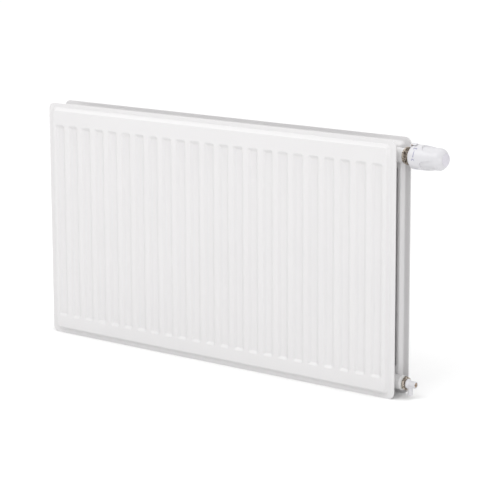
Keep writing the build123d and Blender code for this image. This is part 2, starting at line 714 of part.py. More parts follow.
def scoop_cutter():
    """Leaf-shaped finger recess with a round end towards the valve."""
    start = WHEEL_START + SCOOP_START
    reach = HANDWHEEL_LENGTH
    floor = HANDWHEEL_RADIUS - SCOOP_DEPTH
    half = SCOOP_WIDTH / 2
    outline = Pos(half, 0) * Circle(half) + Pos(half + reach / 2, 0) * Rectangle(
        reach, SCOOP_WIDTH
    )
    cutter = extrude(outline, HANDWHEEL_RADIUS)
    tilted = Rot(0, SCOOP_TILT, 0) * cutter
    # The outline lies flat on top and is then turned to stand at +Y like the pointer.
    return Rot(-90, 0, 0) * Pos(start, 0, floor) * tilted


def handwheel():
    wheel = wheel_solid(0.0)
    scoops = [
        around(POINTER_ANGLE + 360 * index / SCOOP_COUNT) * scoop_cutter()
        for index in range(SCOOP_COUNT)
    ]
    wheel = wheel - scoops
    hollow = wheel_solid(HANDWHEEL_WALL + SCOOP_DEPTH)
    mouth = SLEEVE_RADIUS + KEY_CLEARANCE
    wheel = wheel - hollow
    wheel = wheel - rod(WHEEL_START, WHEEL_START + 2 * HANDWHEEL_WALL + SCOOP_DEPTH, mouth)
    wheel = wheel - rod(
        WHEEL_START + HANDWHEEL_WALL, WHEEL_START + THREAD_ZONE_START, THREAD_ZONE_RADIUS
    )
    zone_start = WHEEL_START + THREAD_ZONE_START
    zone_end = zone_start + THREAD_ZONE_LENGTH
    inner = HANDWHEEL_RADIUS - HANDWHEEL_WALL - SCOOP_DEPTH / 2
    wheel = wheel + ring(zone_start, zone_end, THREAD_ZONE_RADIUS, inner)
    return wheel - rod(WHEEL_END - HANDWHEEL_WALL, WHEEL_END, cap_radius() + STATIC_CLEARANCE)


def cap_radius():
    return NOSE_RADIUS - HANDWHEEL_WALL / 2


def end_cap():
    """Domed cap that closes the handwheel's nose."""
    rim = NOSE_RADIUS - STATIC_CLEARANCE
    height = CAP_DOME - CAP_EDGE
    sphere = (rim**2 + height**2) / (2 * height)
    tip = WHEEL_END + CAP_DOME
    dome = CenterArc((tip - sphere, 0), sphere, 0, degrees(asin(rim / sphere)))
    back = Polyline(
        (WHEEL_END + CAP_EDGE, rim),
        (WHEEL_END, rim),
        (WHEEL_END, cap_radius()),
        (WHEEL_END - HANDWHEEL_WALL, cap_radius()),
        (WHEEL_END - HANDWHEEL_WALL, 0),
        (tip, 0),
    )
    return revolve(make_face([dome, back]), axis=Axis.X)


def sensor_parts():
    start = WHEEL_START + CARRIER_START
    end = start + CARRIER_LENGTH
    outer = SLEEVE_RADIUS - SLEEVE_WALL - KEY_CLEARANCE
    seat = start + CARRIER_FLOOR
    capsule_end = seat + CAPSULE_LENGTH
    retainer_end = end + RETAINER_LENGTH
    pocket = CAPSULE_RADIUS + KEY_CLEARANCE

    carrier = rod(start, end, outer) - rod(seat, end, pocket)
    carrier = carrier - rod(start, seat, PUSH_PIN_RADIUS + KEY_CLEARANCE)
    key_reach = THREAD_ZONE_RADIUS - KEY_CLEARANCE
    key = Box(KEY_LENGTH, 2 * key_reach, KEYWAY_WIDTH - 2 * KEY_CLEARANCE)
    key = Pos(start + KEY_LENGTH / 2, 0, 0) * key & rod(start, end, key_reach)
    carrier = carrier + (key - rod(start, end, outer - KEY_CLEARANCE))

    retainer = rod(end, retainer_end, outer)
    retainer = retainer - rod(end, retainer_end - RETAINER_WALL, pocket)
    spring = coil(
        capsule_end,
        retainer_end - RETAINER_WALL,
        OVERTRAVEL_SPRING_RADIUS,
        OVERTRAVEL_SPRING_WIRE,
        OVERTRAVEL_SPRING_TURNS,
    )
    return {
        "sensor_carrier": carrier,
        "sensor_retainer": retainer,
        "sensor_capsule": rod(seat, capsule_end, CAPSULE_RADIUS),
        "overtravel_spring": spring,
        "push_pin": rod(SPINDLE_PROUD, seat, PUSH_PIN_RADIUS),
    }


# ---- the whole radiator ----
def placed(location, shapes):
    return {name: location * shape for name, shape in shapes.items()}


def radiator():
    bottom_right = at_valve_end(BOTTOM_AXIS)
    top_right = at_valve_end(TOP_AXIS)
    bottom_left = at_left_end(BOTTOM_AXIS)
    top_left = at_left_end(TOP_AXIS)
    nodes = panel_sheets()
    nodes |= {
        "top_left_tee": top_left * plain_tee(),
        "bottom_left_tee": bottom_left * plain_tee(),
        "bottom_right_tee": bottom_right * plain_tee(),
        "valve_tee": top_right * valve_tee(),
        "flow_riser_tube": riser_tube(),
        "flow_socket": flow_socket(),
        "return_tee": return_tee(),
        "hanging_straps": hanging_straps(),
    }
    nodes |= placed(bottom_right, drain_parts())
    nodes |= placed(top_left, vent_parts())
    nodes |= placed(
        bottom_left, {"blanking_plug_washer": plug_washer(), "blanking_plug": blanking_plug()}
    )
    nodes |= placed(top_right, valve_insert_parts())
    head = {
        "head_union_nut": head_union_nut(),
        "head_base": head_base(),
        "limiter_pin": limiter_pin(),
        "handwheel": handwheel(),
        "handwheel_end_cap": end_cap(),
    }
    nodes |= placed(top_right, head | sensor_parts())
    return nodes


def as_compound(shape):
    pieces = shape if isinstance(shape, list) else [shape]
    return Compound(children=[solid for piece in pieces for solid in piece.solids()])


nodes = {name: as_compound(shape) for name, shape in radiator().items()}
boxes = [shape.bounding_box() for shape in nodes.values()]
middle_x = (min(box.min.X for box in boxes) + max(box.max.X for box in boxes)) / 2
middle_y = (min(box.min.Y for box in boxes) + max(box.max.Y for box in boxes)) / 2
floor_z = min(box.min.Z for box in boxes)
to_origin = Pos(-middle_x, -middle_y, -floor_z)

os.makedirs("parts", exist_ok=True)
for name, shape in nodes.items():
    export_step(to_origin * shape, f"parts/{name}.step")
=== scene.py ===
import json
from math import cos, degrees, pi, radians, sin, tan, tau

import bmesh
import bpy
import numpy as np
from bpy.props import FloatProperty, FloatVectorProperty, IntProperty, PointerProperty
from mathutils import Matrix, Vector


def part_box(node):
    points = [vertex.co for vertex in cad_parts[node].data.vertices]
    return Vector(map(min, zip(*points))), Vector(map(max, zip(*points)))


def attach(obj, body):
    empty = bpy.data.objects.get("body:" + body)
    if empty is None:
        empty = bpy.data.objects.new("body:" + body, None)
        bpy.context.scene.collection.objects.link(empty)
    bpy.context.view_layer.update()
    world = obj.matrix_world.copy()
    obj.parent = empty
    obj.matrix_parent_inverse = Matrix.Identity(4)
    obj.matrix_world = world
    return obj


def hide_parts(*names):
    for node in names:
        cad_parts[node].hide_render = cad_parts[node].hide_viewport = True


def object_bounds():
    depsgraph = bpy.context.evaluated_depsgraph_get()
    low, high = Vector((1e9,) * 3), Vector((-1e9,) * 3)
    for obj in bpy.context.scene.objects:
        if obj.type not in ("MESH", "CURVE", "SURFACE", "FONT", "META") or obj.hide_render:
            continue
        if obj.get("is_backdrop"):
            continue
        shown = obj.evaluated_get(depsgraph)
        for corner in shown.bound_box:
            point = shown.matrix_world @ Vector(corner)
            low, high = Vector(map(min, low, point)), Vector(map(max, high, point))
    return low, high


bl_info = {
    "name": "Panel radiator",
    "version": (1, 0, 0),
    "blender": (4, 5, 0),
    "location": "3D View > Sidebar > Radiator",
    "description": "Pressed panels, pipework, valve head and finishes of a panel radiator",
    "category": "Object",
}

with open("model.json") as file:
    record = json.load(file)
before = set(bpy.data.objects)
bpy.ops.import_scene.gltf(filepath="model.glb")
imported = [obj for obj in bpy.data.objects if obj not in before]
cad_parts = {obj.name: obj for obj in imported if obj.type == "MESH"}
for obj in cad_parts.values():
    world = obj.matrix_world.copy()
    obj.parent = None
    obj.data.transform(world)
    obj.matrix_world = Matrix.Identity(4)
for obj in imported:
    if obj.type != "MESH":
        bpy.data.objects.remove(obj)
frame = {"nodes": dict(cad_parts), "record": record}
CAD_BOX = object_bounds()

MM = 0.001
TURNS = 96  # points round a turned piece
WELD = 1e-7  # points closer than this are one point
RADIATOR = "radiator"


# ---- places read from the frame ----
def middle(node):
    low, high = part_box(node)
    return (low + high) / 2


def extent(node):
    low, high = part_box(node)
    return high - low


def mouth_span(node):
    """Where a piece at the valve end starts and ends, from the tee's mouth outwards."""
    low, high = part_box(node)
    return low.x - PANEL_X - MOUTH, high.x - PANEL_X - MOUTH


FRONT_LOW, FRONT_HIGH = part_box("front_panel_outer_sheet")
REAR_LOW, REAR_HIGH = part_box("rear_panel_outer_sheet")
PANEL_X = (FRONT_LOW.x + FRONT_HIGH.x) / 2
GAP_Y = (FRONT_LOW.y + REAR_HIGH.y) / 2
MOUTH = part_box("valve_tee")[1].x - PANEL_X
VALVE_Z = middle("head_union_nut").z
DRAIN_Z = middle("drain_plug_washer").z


# ---- sizes and colours a user would change ----
def length(name, description, default):
    return FloatProperty(
        name=name, description=description, default=default * MM, unit="LENGTH", precision=5
    )


def colour(name, description, default):
    return FloatVectorProperty(
        name=name, description=description, default=default, subtype="COLOR", min=0.0, max=1.0
    )


def turn_angle(name, description, default):
    return FloatProperty(
        name=name, description=description, default=radians(default), subtype="ANGLE", unit="ROTATION"
    )


def power(name, description, default):
    return FloatProperty(name=name, description=description, default=default, unit="POWER")


def plain_number(name, description, default):
    return FloatProperty(name=name, description=description, default=default)


class SheetSizes(bpy.types.PropertyGroup):
    thickness: length("Thickness", "Thickness of the pressed steel sheets", 1.25)
    outline_radius: length("Outline radius", "Radius of the panels' four corners", 12.0)
    rim_width: length("Rim width", "Flat welded rim along the two ends", 10.5)
    rim_height: length("Rim height", "Flat welded rim along the top and bottom", 7.5)
    field_rise: length("Field rise", "Height of the pressed field over the rim", 7.2)
    field_run: length("Field run", "Width of the slope from the rim up to the field", 5.5)
    field_corner: length("Field corner", "Corner radius of the field at the rim", 9.5)
    groove_pitch: length("Groove pitch", "Distance from one groove to the next", 100.0 / 3.0)
    groove_width: length("Groove width", "Width of a groove at the field", 24.0)
    groove_run: length("Groove run", "Width of a groove's slope", 6.4)
    groove_corner: length("Groove corner", "Corner radius of a groove's ends", 5.5)
    groove_depth: length("Groove depth", "Depth of the outer sheets' grooves", 4.2)
    inner_groove_depth: length("Inner depth", "Depth of the inner sheets' grooves", 10.2)
    groove_foot: length("Groove foot", "From the bottom edge up to the grooves", 35.0)
    groove_head: length("Groove head", "From the top edge down to the grooves", 40.0)
    inner_setback: length("Inner setback", "How much shorter the inner grooves end", 12.0)
    press_radius: length("Press radius", "Softness of the pressed edges", 0.8)
    slope_steps: IntProperty(
        name="Slope steps", description="Faces across each pressed slope", default=8, min=4, max=16
    )


class PipeSizes(bpy.types.PropertyGroup):
    tee_radius: length("Tee radius", "Outer radius of the tees", 12.5)
    tee_lip: length("Tee lip", "How much the ring at a tee's mouth stands out", 0.4)
    collar_radius: length("Collar radius", "Radius of a cross branch where it is welded", 13.5)
    thread_bore: length("Thread bore", "Radius of the threaded bores", 9.3)
    cross_inset: length("Cross inset", "From a tee's mouth to its cross branch", 37.0)
    riser_radius: length("Riser radius", "Outer radius of the riser tube", 7.5)
    riser_bend: length("Riser bend", "Bend radius of the riser's centreline", 30.0)
    strap_plate: length("Strap plate", "Thickness of the hanging straps", 2.5)


class PlugSizes(bpy.types.PropertyGroup):
    hex_flats: length("Hexagon", "Across the flats of the plugs", 22.0)
    hex_height: length("Hexagon height", "Height of the plugs' hexagon", 5.5)
    washer: length("Washer", "Thickness of the sealing washers", 2.5)
    reach: length("Reach", "Threaded length inside the tee", 14.0)
    barrel_radius: length("Barrel radius", "Outer radius of the drain spout's barrel", 6.0)
    hub_radius: length("Hub radius", "Outer radius of the drain spout's hub", 8.5)
    spout_radius: length("Spout radius", "Outer radius of the drain spout", 4.5)
    spout_wall: length("Spout wall", "Wall of the drain spout", 1.7)


class HeadSizes(bpy.types.PropertyGroup):
    insert_flats: length("Insert hexagon", "Across the flats of the valve insert", 27.0)
    knurls: IntProperty(
        name="Knurls", description="Knurled points round the union nut", default=34, min=12, max=96
    )
    knurl_depth: length("Knurl depth", "Depth of the union nut's knurling", 0.8)
    scoop_depth: length("Scoop depth", "Depth of the finger recesses", 2.6)
    scoop_width: length("Scoop width", "Width of the finger recesses", 25.0)
    scoop_start: length("Scoop start", "From the wheel's open end to the recesses", 20.5)
    pointer_angle: turn_angle("Pointer angle", "Pointer's place, from the wall side up", 103.0)
    first_digit: turn_angle("Zero's angle", "Where the dial's zero stands at rest", 292.0)
    digit_step: turn_angle("Digit step", "Turn from one number of the dial to the next", 54.0)
    digit_height: length("Digit height", "Height of the dial's numbers", 6.4)
    print_height: length("Print height", "How far the printed marks stand proud", 0.04)


class FinishColours(bpy.types.PropertyGroup):
    enamel: colour("Enamel", "Powder coat of the panels", (0.65, 0.642, 0.645))
    plastic: colour("Plastic", "Moulded parts of the head", (0.585, 0.58, 0.60))
    cap: colour("Cap", "End cap of the head", (0.58, 0.565, 0.61))
    nylon: colour("Nylon", "Sealing washers", (0.60, 0.60, 0.585))
    nickel: colour("Nickel", "Plated fittings", (0.62, 0.55, 0.47))
    brass: colour("Brass", "Bare brass", (0.50, 0.38, 0.29))
    # Dark film colour of the plating's blotches; also painted into the knurl's grooves as shade.
    tarnish: colour("Tarnish", "Dull film in the fittings' hollows", (0.045, 0.03, 0.018))
    steel: colour("Steel", "Spindle and springs", (0.56, 0.56, 0.57))
    capsule: colour("Capsule", "Drawn cup of the sensor", (0.72, 0.72, 0.73))
    rubber: colour("Rubber", "Seals", (0.030, 0.030, 0.032))
    limiter: colour("Limiter", "Limiter pin", (0.34, 0.26, 0.19))
    ink: colour("Ink", "Printed marks of the dial", (0.15, 0.15, 0.27))


class StageLook(bpy.types.PropertyGroup):
    floor: colour("Floor", "Plain floor", (0.905, 0.905, 0.905))
    sky: colour("Sky", "Light from all round", (1.0, 1.0, 1.0))
    sky_strength: plain_number("Sky strength", "Strength of the light from all round", 1.0)
    key_power: power("Key power", "Power of the overhead light", 9.0)
    side_power: power("Side power", "Power of the light at the valve end", 19.0)
    lens: plain_number("Lens", "Focal length of the camera, in millimetres", 144.25)
    shift: plain_number("Shift", "Vertical shift of the camera's frame", -0.10)


# ---- node building ----
def two_sided(operation):
    """A maths operation as an overloaded operator, and its reflected form."""

    def forwards(wire, other):
        return wire.math(operation, wire, other)

    def reflected(wire, other):
        return wire.math(operation, other, wire)

    return forwards, reflected


class Wire:
    """A node's output whose arithmetic adds Math nodes to its tree."""

    def __init__(self, board, socket):
        self.board = board
        self.socket = socket

    def math(self, operation, first, second=None):
        values = {0: first} if second is None else {0: first, 1: second}
        return self.board.add("ShaderNodeMath", {"operation": operation}, values)

    __add__, __radd__ = two_sided("ADD")
    __sub__, __rsub__ = two_sided("SUBTRACT")
    __mul__, __rmul__ = two_sided("MULTIPLY")
    __truediv__, __rtruediv__ = two_sided("DIVIDE")
    __mod__, __rmod__ = two_sided("FLOORED_MODULO")
    least = two_sided("MINIMUM")[0]
    most = two_sided("MAXIMUM")[0]

    def __abs__(self):
        return self.math("ABSOLUTE", self)

    def root(self):
        return self.math("SQRT", self)

    def whole(self):
        return self.math("FLOOR", self)

    def sign(self):
        return self.math("SIGN", self)

    def sine(self):
        return self.math("SINE", self)

    def cosine(self):
        return self.math("COSINE", self)


class Board:
    """Adds nodes to one tree."""

    def __init__(self, tree):
        self.tree = tree

    def add(self, kind, settings=None, sockets=None, output=0):
        node = self.tree.nodes.new(kind)
        for name, value in (settings or {}).items():
            setattr(node, name, value)
        for key, value in (sockets or {}).items():
            if isinstance(value, Wire):
                self.tree.links.new(value.socket, node.inputs[key])
            else:
                node.inputs[key].default_value = value
        if node.outputs:
            return Wire(self, node.outputs[output])
        return None

    def parts(self, vector):
        """The three numbers of a vector."""
        split = self.add("ShaderNodeSeparateXYZ", None, {0: vector})
        return [Wire(self, output) for output in split.socket.node.outputs]

    def ramp(self, value, start, end, low, high, kind="LINEAR"):
        return self.add(
            "ShaderNodeMapRange",
            {"interpolation_type": kind},
            {0: value, 1: start, 2: end, 3: low, 4: high},
        )

    def joined(self, x, y, z):
        return self.add("ShaderNodeCombineXYZ", None, {0: x, 1: y, 2: z})


def noise(board, place, scale, detail=2.0, roughness=0.5):
    return board.add(
        "ShaderNodeTexNoise",
        None,
        {"Vector": place, "Scale": scale, "Detail": detail, "Roughness": roughness},
    )


def stretched(board, place, scale):
    return board.add(
        "ShaderNodeMapping", {"vector_type": "POINT"}, {"Vector": place, "Scale": scale}
    )


def mixed(board, factor, first, second):
    """Colour between two colours."""
    return board.add(
        "ShaderNodeMix", {"data_type": "RGBA"}, {0: factor, 6: first, 7: second}, output=2
    )


def solid(shade, share=1.0):
    """A colour with alpha, made lighter or darker by a share."""
    return (*(min(channel * share, 1.0) for channel in shade), 1.0)


# ---- finishes ----
def start_finish(name):
    """Empty material, the board of its tree and the place of each point in the object's frame."""
    material = bpy.data.materials.new(name)
    material.use_nodes = True
    material.node_tree.nodes.clear()
    board = Board(material.node_tree)
    place = board.add("ShaderNodeTexCoord", output="Object")
    return material, board, place


def end_finish(board, sockets, relief=None, depth=0.0, strength=1.0):
    """Principled surface with its relief as a bump of the given depth."""
    if relief is not None:
        sockets["Normal"] = board.add(
            "ShaderNodeBump", None, {"Strength": strength, "Distance": depth, "Height": relief}
        )
    surface = board.add("ShaderNodeBsdfPrincipled", None, sockets)
    board.add("ShaderNodeOutputMaterial", None, {"Surface": surface})


def powder_coat(shade):
    """Baked enamel: faint orange peel, slow changes of film thickness and a satin gloss."""
    material, board, place = start_finish("powder_coat")
    film = noise(board, place, 7.0, 3.0)
    peel = noise(board, place, 620.0, 1.5) + 0.35 * noise(board, place, 1900.0, 1.0)
    tint = mixed(board, board.ramp(film, 0.3, 0.7, 0.0, 1.0), solid(shade, 0.985), solid(shade))
    gloss = 0.30 + 0.10 * noise(board, place, 26.0, 4.0)
    sockets = {"Base Color": tint, "Roughness": gloss, "Coat Weight": 0.15, "Coat Roughness": 0.2}
    end_finish(board, sockets, peel, 0.00006, 0.35)
    return material


def moulded(name, shade, roughness, grain, depth):
    """Injection-moulded plastic: eroded tool grain, slight flow clouds and soft gloss."""
    material, board, place = start_finish(name)
    flow = noise(board, stretched(board, place, (24.0, 60.0, 60.0)), 1.0, 3.0)
    grained = noise(board, place, grain, 2.0) + 0.4 * noise(board, place, grain * 2.6, 1.0)
    tint = mixed(board, board.ramp(flow, 0.3, 0.7, 0.0, 1.0), solid(shade, 0.975), solid(shade))
    gloss = roughness + 0.08 * noise(board, place, 240.0, 3.0)
    end_finish(board, {"Base Color": tint, "Roughness": gloss}, grained, depth, 0.4)
    return material


def plated(name, shade, tarnish, film):
    """Turned and plated fitting: fine tool rings, blotchy tarnished film, and painted shade that
    darkens a knurl's grooves.
    """
    material, board, place = start_finish(name)
    rings = noise(board, stretched(board, place, (5200.0, 260.0, 260.0)), 1.0, 2.0)
    blotch = noise(board, place, 330.0, 4.0, 0.62)
    specks = noise(board, place, 1150.0, 2.0)
    # Painted shade: a stored mask of the knurl's grooves darkens the plating there, towards the dark
    # film colour.
    painted_knurl_shade = board.add("ShaderNodeAttribute", {"attribute_name": "painted_knurl_shade"}, output="Fac")
    tarnish_and_knurl_shade = board.ramp(blotch, 0.46, 0.60, 0.0, film) + board.ramp(specks, 0.50, 0.66, 0.0, 0.45)
    tarnish_and_knurl_shade = (tarnish_and_knurl_shade + painted_knurl_shade).least(1.0)
    tint = mixed(board, tarnish_and_knurl_shade, solid(shade), solid(tarnish))
    sockets = {"Base Color": tint, "Metallic": 1.0 - 0.45 * tarnish_and_knurl_shade, "Roughness": 0.24 + 0.34 * tarnish_and_knurl_shade}
    end_finish(board, sockets, rings + 0.8 * specks, 0.00005, 0.4)
    return material


def drawn_metal(name, shade, roughness, scale):
    """Ground or drawn metal with fine lines along its length."""
    material, board, place = start_finish(name)
    lines = noise(board, stretched(board, place, (scale, 9000.0, 9000.0)), 1.0, 2.0)
    cloud = noise(board, place, 190.0, 3.0)
    tint = mixed(board, cloud, solid(shade, 0.86), solid(shade))
    sockets = {"Base Color": tint, "Metallic": 1.0, "Roughness": roughness + 0.12 * lines}
    end_finish(board, sockets, lines, 0.00003, 0.3)
    return material


def rubber(shade):
    """Moulded rubber with a dry bloom."""
    material, board, place = start_finish("seal_rubber")
    bloom = noise(board, place, 420.0, 4.0)
    tint = mixed(board, board.ramp(bloom, 0.45, 0.8, 0.0, 0.5), solid(shade), solid(shade, 2.6))
    end_finish(board, {"Base Color": tint, "Roughness": 0.55 + 0.2 * bloom}, bloom, 0.00004, 0.5)
    return material


def printed(shade):
    """Pad-printed ink, a little uneven in cover."""
    material, board, place = start_finish("dial_ink")
    cover = noise(board, place, 1500.0, 3.0)
    tint = mixed(board, board.ramp(cover, 0.4, 0.75, 0.0, 0.5), solid(shade), solid(shade, 1.7))
    end_finish(board, {"Base Color": tint, "Roughness": 0.5 + 0.15 * cover}, cover, 0.00002, 0.3)
    return material


def finishes():
    """Every material of the radiator, made once, by the record's slot."""
    if "powder_coat" not in bpy.data.materials:
        look = bpy.context.scene.radiator_colours
        powder_coat(look.enamel)
        moulded("white_plastic", look.plastic, 0.26, 1500.0, 0.00003)
        moulded("cap_moulding", look.cap, 0.46, 1900.0, 0.00005)
        moulded("spout_moulding", look.plastic, 0.30, 1700.0, 0.00003)
        moulded("turned_nylon", look.nylon, 0.42, 1300.0, 0.00004)
        moulded("limiter_moulding", look.limiter, 0.45, 2100.0, 0.00003)
        plated("nickel_plate", look.nickel, look.tarnish, 0.90)
        plated("turned_brass", look.brass, look.tarnish, 0.30)
        drawn_metal("spring_wire", look.steel, 0.28, 240.0)
        drawn_metal("ground_steel", look.steel, 0.20, 420.0)
        drawn_metal("drawn_cup", look.capsule, 0.30, 160.0)
        rubber(look.rubber)
        printed(look.ink)
    made = bpy.data.materials
    return {
        "panel_enamel": made["powder_coat"],
        "head_plastic": made["white_plastic"],
        "cap_plastic": made["cap_moulding"],
        "spout_plastic": made["spout_moulding"],
        "washer_nylon": made["turned_nylon"],
        "limiter_plastic": made["limiter_moulding"],
        "nickel_brass": made["nickel_plate"],
        "bare_brass": made["turned_brass"],
        "spring_steel": made["spring_wire"],
        "stainless_steel": made["ground_steel"],
        "capsule_metal": made["drawn_cup"],
        "black_rubber": made["seal_rubber"],
    }


# ---- meshes ----
def tidy_mesh(mesh, crease=35.0):
    """Merge doubled points, turn the faces outwards and keep only real edges sharp."""
    work = bmesh.new()
    work.from_mesh(mesh)
    bmesh.ops.remove_doubles(work, verts=work.verts, dist=WELD)
    bmesh.ops.dissolve_degenerate(work, edges=work.edges, dist=WELD)
    bmesh.ops.recalc_face_normals(work, faces=work.faces)
    work.to_mesh(mesh)
    work.free()
    mesh.shade_smooth()
    mesh.set_sharp_from_angle(angle=radians(crease))
    return mesh


def new_piece(name, mesh):
    piece = bpy.data.objects.new(name, mesh)
    bpy.context.scene.collection.objects.link(piece)
    return piece


def skin(name, rings, loop=False, place=Matrix.Identity(4), crease=35.0):
    """Closed piece from rings with equal numbers of points. A loop joins the last ring to the first."""
    points = np.array(rings, float)
    count, around, _ = points.shape
    index = np.arange(count * around).reshape(count, around)
    below = index if loop else index[:-1]
    above = np.roll(index, -1, axis=0) if loop else index[1:]
    quads = np.stack(
        [below, np.roll(below, -1, axis=1), np.roll(above, -1, axis=1), above], axis=-1
    )
    mesh = bpy.data.meshes.new(name)
    mesh.from_pydata(points.reshape(-1, 3).tolist(), [], quads.reshape(-1, 4).tolist())
    mesh.transform(place)
    return new_piece(name, tidy_mesh(mesh, crease))


def plain_mesh(piece):
    graph = bpy.context.evaluated_depsgraph_get()
    return bpy.data.meshes.new_from_object(piece.evaluated_get(graph))


def finished(piece):
    """The piece with its modifiers worked into a plain mesh."""
    mesh = plain_mesh(piece)
    piece.modifiers.clear()
    piece.data = mesh
    return piece


def with_modifier(piece, kind, **settings):
    modifier = piece.modifiers.new(kind, kind)
    for name, value in settings.items():
        setattr(modifier, name, value)
    return finished(piece)


def combined(piece, tool, operation):
    """The piece after a tool piece is joined to it or cut out of it."""
    with_modifier(piece, "BOOLEAN", object=tool, operation=operation, solver="EXACT")
    bpy.data.objects.remove(tool)
    tidy_mesh(piece.data)
    return piece


def softened(piece, width, segments=2, angle=50.0):
    """The piece with its sharp edges rounded."""
    with_modifier(
        piece, "BEVEL", width=width, segments=segments, limit_method="ANGLE",
        angle_limit=radians(angle), use_clamp_overlap=True,
    )
    tidy_mesh(piece.data)
    return piece


def hang(piece, slot, nodes, body=RADIATOR, finish=None):
    """Give a finished piece its material and body, and let it stand for its CAD nodes."""
    piece.data.materials.clear()
    piece.data.materials.append(finish or finishes()[slot])
    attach(piece, body)
    if nodes:
        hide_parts(*nodes)
    return piece


def valve_place(height):
    """Axis of the pieces at the valve end, with the tee's mouth at the origin."""
    return Matrix.Translation((PANEL_X + MOUTH, GAP_Y, height))


def left_place(height):
    """The same at the left end, where the pieces run outwards the other way."""
    return Matrix.Translation((PANEL_X - MOUTH, GAP_Y, height)) @ Matrix.Rotation(pi, 4, "Z")


# ---- outlines and rings for turned pieces ----
def rounded(*corners, step=18.0):
    """Points (x, radius) of an outline whose corners are (x, radius) or (x, radius, rounding)."""
    spots = [Vector(corner[:2]) for corner in corners]
    outline = []
    for index, corner in enumerate(corners):
        here = spots[index]
        if len(corner) == 2 or index in (0, len(corners) - 1):
            outline.append(here)
            continue
        back = (spots[index - 1] - here).normalized()
        ahead = (spots[index + 1] - here).normalized()
        half = back.angle(ahead) / 2
        reach = corner[2] / tan(half)
        centre = here + (back + ahead).normalized() * (corner[2] / sin(half))
        start = here + back * reach - centre
        turn = start.angle_signed(here + ahead * reach - centre)
        steps = max(2, round(abs(degrees(turn)) / step))
        for share in range(steps + 1):
            angle = -turn * share / steps
            outline.append(centre + Matrix.Rotation(angle, 2) @ start)
    return outline


ANGLES = np.arange(TURNS) * tau / TURNS


def ring_points(x, radius, angles=ANGLES):
    """Ring round the X axis; x and radius are numbers or have one number for each angle."""
    return np.stack([x + 0.0 * angles, radius * np.cos(angles), radius * np.sin(angles)], axis=1)


def round_rings(outline):
    return [ring_points(x, radius) for x, radius in outline]


def flat_sided_ring(x, flats, sides, chamfer):
    """Ring of a hexagon or square whose corners draw back from x, by a share of 30 degrees."""
    step = tau / sides
    radius = flats / 2 / np.cos((ANGLES + step / 2) % step - step / 2)
    setback = (radius - flats / 2) * tan(radians(30.0)) * chamfer
    return ring_points(x - setback, radius)


def turned(name, outline, place, loop=False, crease=35.0):
    return skin(name, round_rings(outline), loop, place, crease)


def prism(start, end, flats, sides):
    """Rings of a hexagon or square bar with both its ends chamfered."""
    return [
        ring_points(start, flats / 2 * 0.985),
        flat_sided_ring(start, flats, sides, -1),
        flat_sided_ring(end, flats, sides, 1),
        ring_points(end, flats / 2 * 0.985),
    ]


# ---- geometry node helpers ----
def start_tree(name, inputs):
    """Tree whose named inputs are numbers, and the wires of those inputs."""
    tree = bpy.data.node_groups.new(name, "GeometryNodeTree")
    for label in inputs:
        tree.interface.new_socket(name=label, in_out="INPUT", socket_type="NodeSocketFloat")
    tree.interface.new_socket(name="Material", in_out="INPUT", socket_type="NodeSocketMaterial")
    tree.interface.new_socket(name="Geometry", in_out="OUTPUT", socket_type="NodeSocketGeometry")
    board = Board(tree)
    given = tree.nodes.new("NodeGroupInput")
    return board, {output.name: Wire(board, output) for output in given.outputs if output.name}


def end_tree(board, geometry, material):
    real = board.add("GeometryNodeRealizeInstances", None, {0: geometry})
    painted = board.add("GeometryNodeSetMaterial", None, {"Geometry": real, "Material": material})
    board.add("NodeGroupOutput", None, {"Geometry": painted})
    return board.tree


def grown(name, tree, material, values):
    """Piece that a tree makes from its named values."""
    piece = new_piece(name, bpy.data.meshes.new(name))
    modifier = piece.modifiers.new("Shape", "NODES")
    modifier.node_group = tree
    for item in tree.interface.items_tree:
        if item.in_out == "INPUT":
            modifier[item.identifier] = material if item.name == "Material" else values[item.name]
    finished(piece)
    tidy_mesh(piece.data)
    return piece


def lattice(board, columns, rows):
    """Flat grid about the origin whose columns and rows are one apart."""
    return board.add(
        "GeometryNodeMeshGrid", None,
        {"Size X": columns, "Size Y": rows, "Vertices X": columns + 1, "Vertices Y": rows + 1},
    )


def spans(board, index, widths):
    """Place along a row of spans, each a number of steps and a width, from a step's index."""
    place = 0.0
    start = 0
    for steps, width in widths:
        place = board.ramp(index, start, start + steps, 0.0, width) + place
        start += steps
    return place


def rounded_inset(board, x, z, half_width, half_height, radius):
    """Distance inwards from the outline of a rounded rectangle about the origin."""
    over_x = abs(x) - (half_width - radius)
    over_z = abs(z) - (half_height - radius)
    out_x = over_x.most(0.0)
    out_z = over_z.most(0.0)
    outside = (out_x * out_x + out_z * out_z).root()
    return radius - outside - over_x.most(over_z).least(0.0)


def soft_slope(board, inset, run, softness):
    """0 outside an outline and 1 once inside by the run, with both edges softened."""
    return board.ramp(inset, 0.0 - softness, run + softness, 0.0, 1.0, "SMOOTHSTEP")


# ---- pressed sheets ----
PRESS_SIZES = (
    "Thickness", "Outline Radius", "Rim Width", "Rim Height", "Field Rise", "Field Run",
    "Field Corner", "Groove Width", "Groove Run", "Groove Corner", "Press Radius",
)
SHEET_INPUTS = (
    *PRESS_SIZES, "Middle X", "Seam Y", "Facing", "Length", "Height", "Pitch", "Groove Depth",
    "Groove Foot", "Groove Head",
)


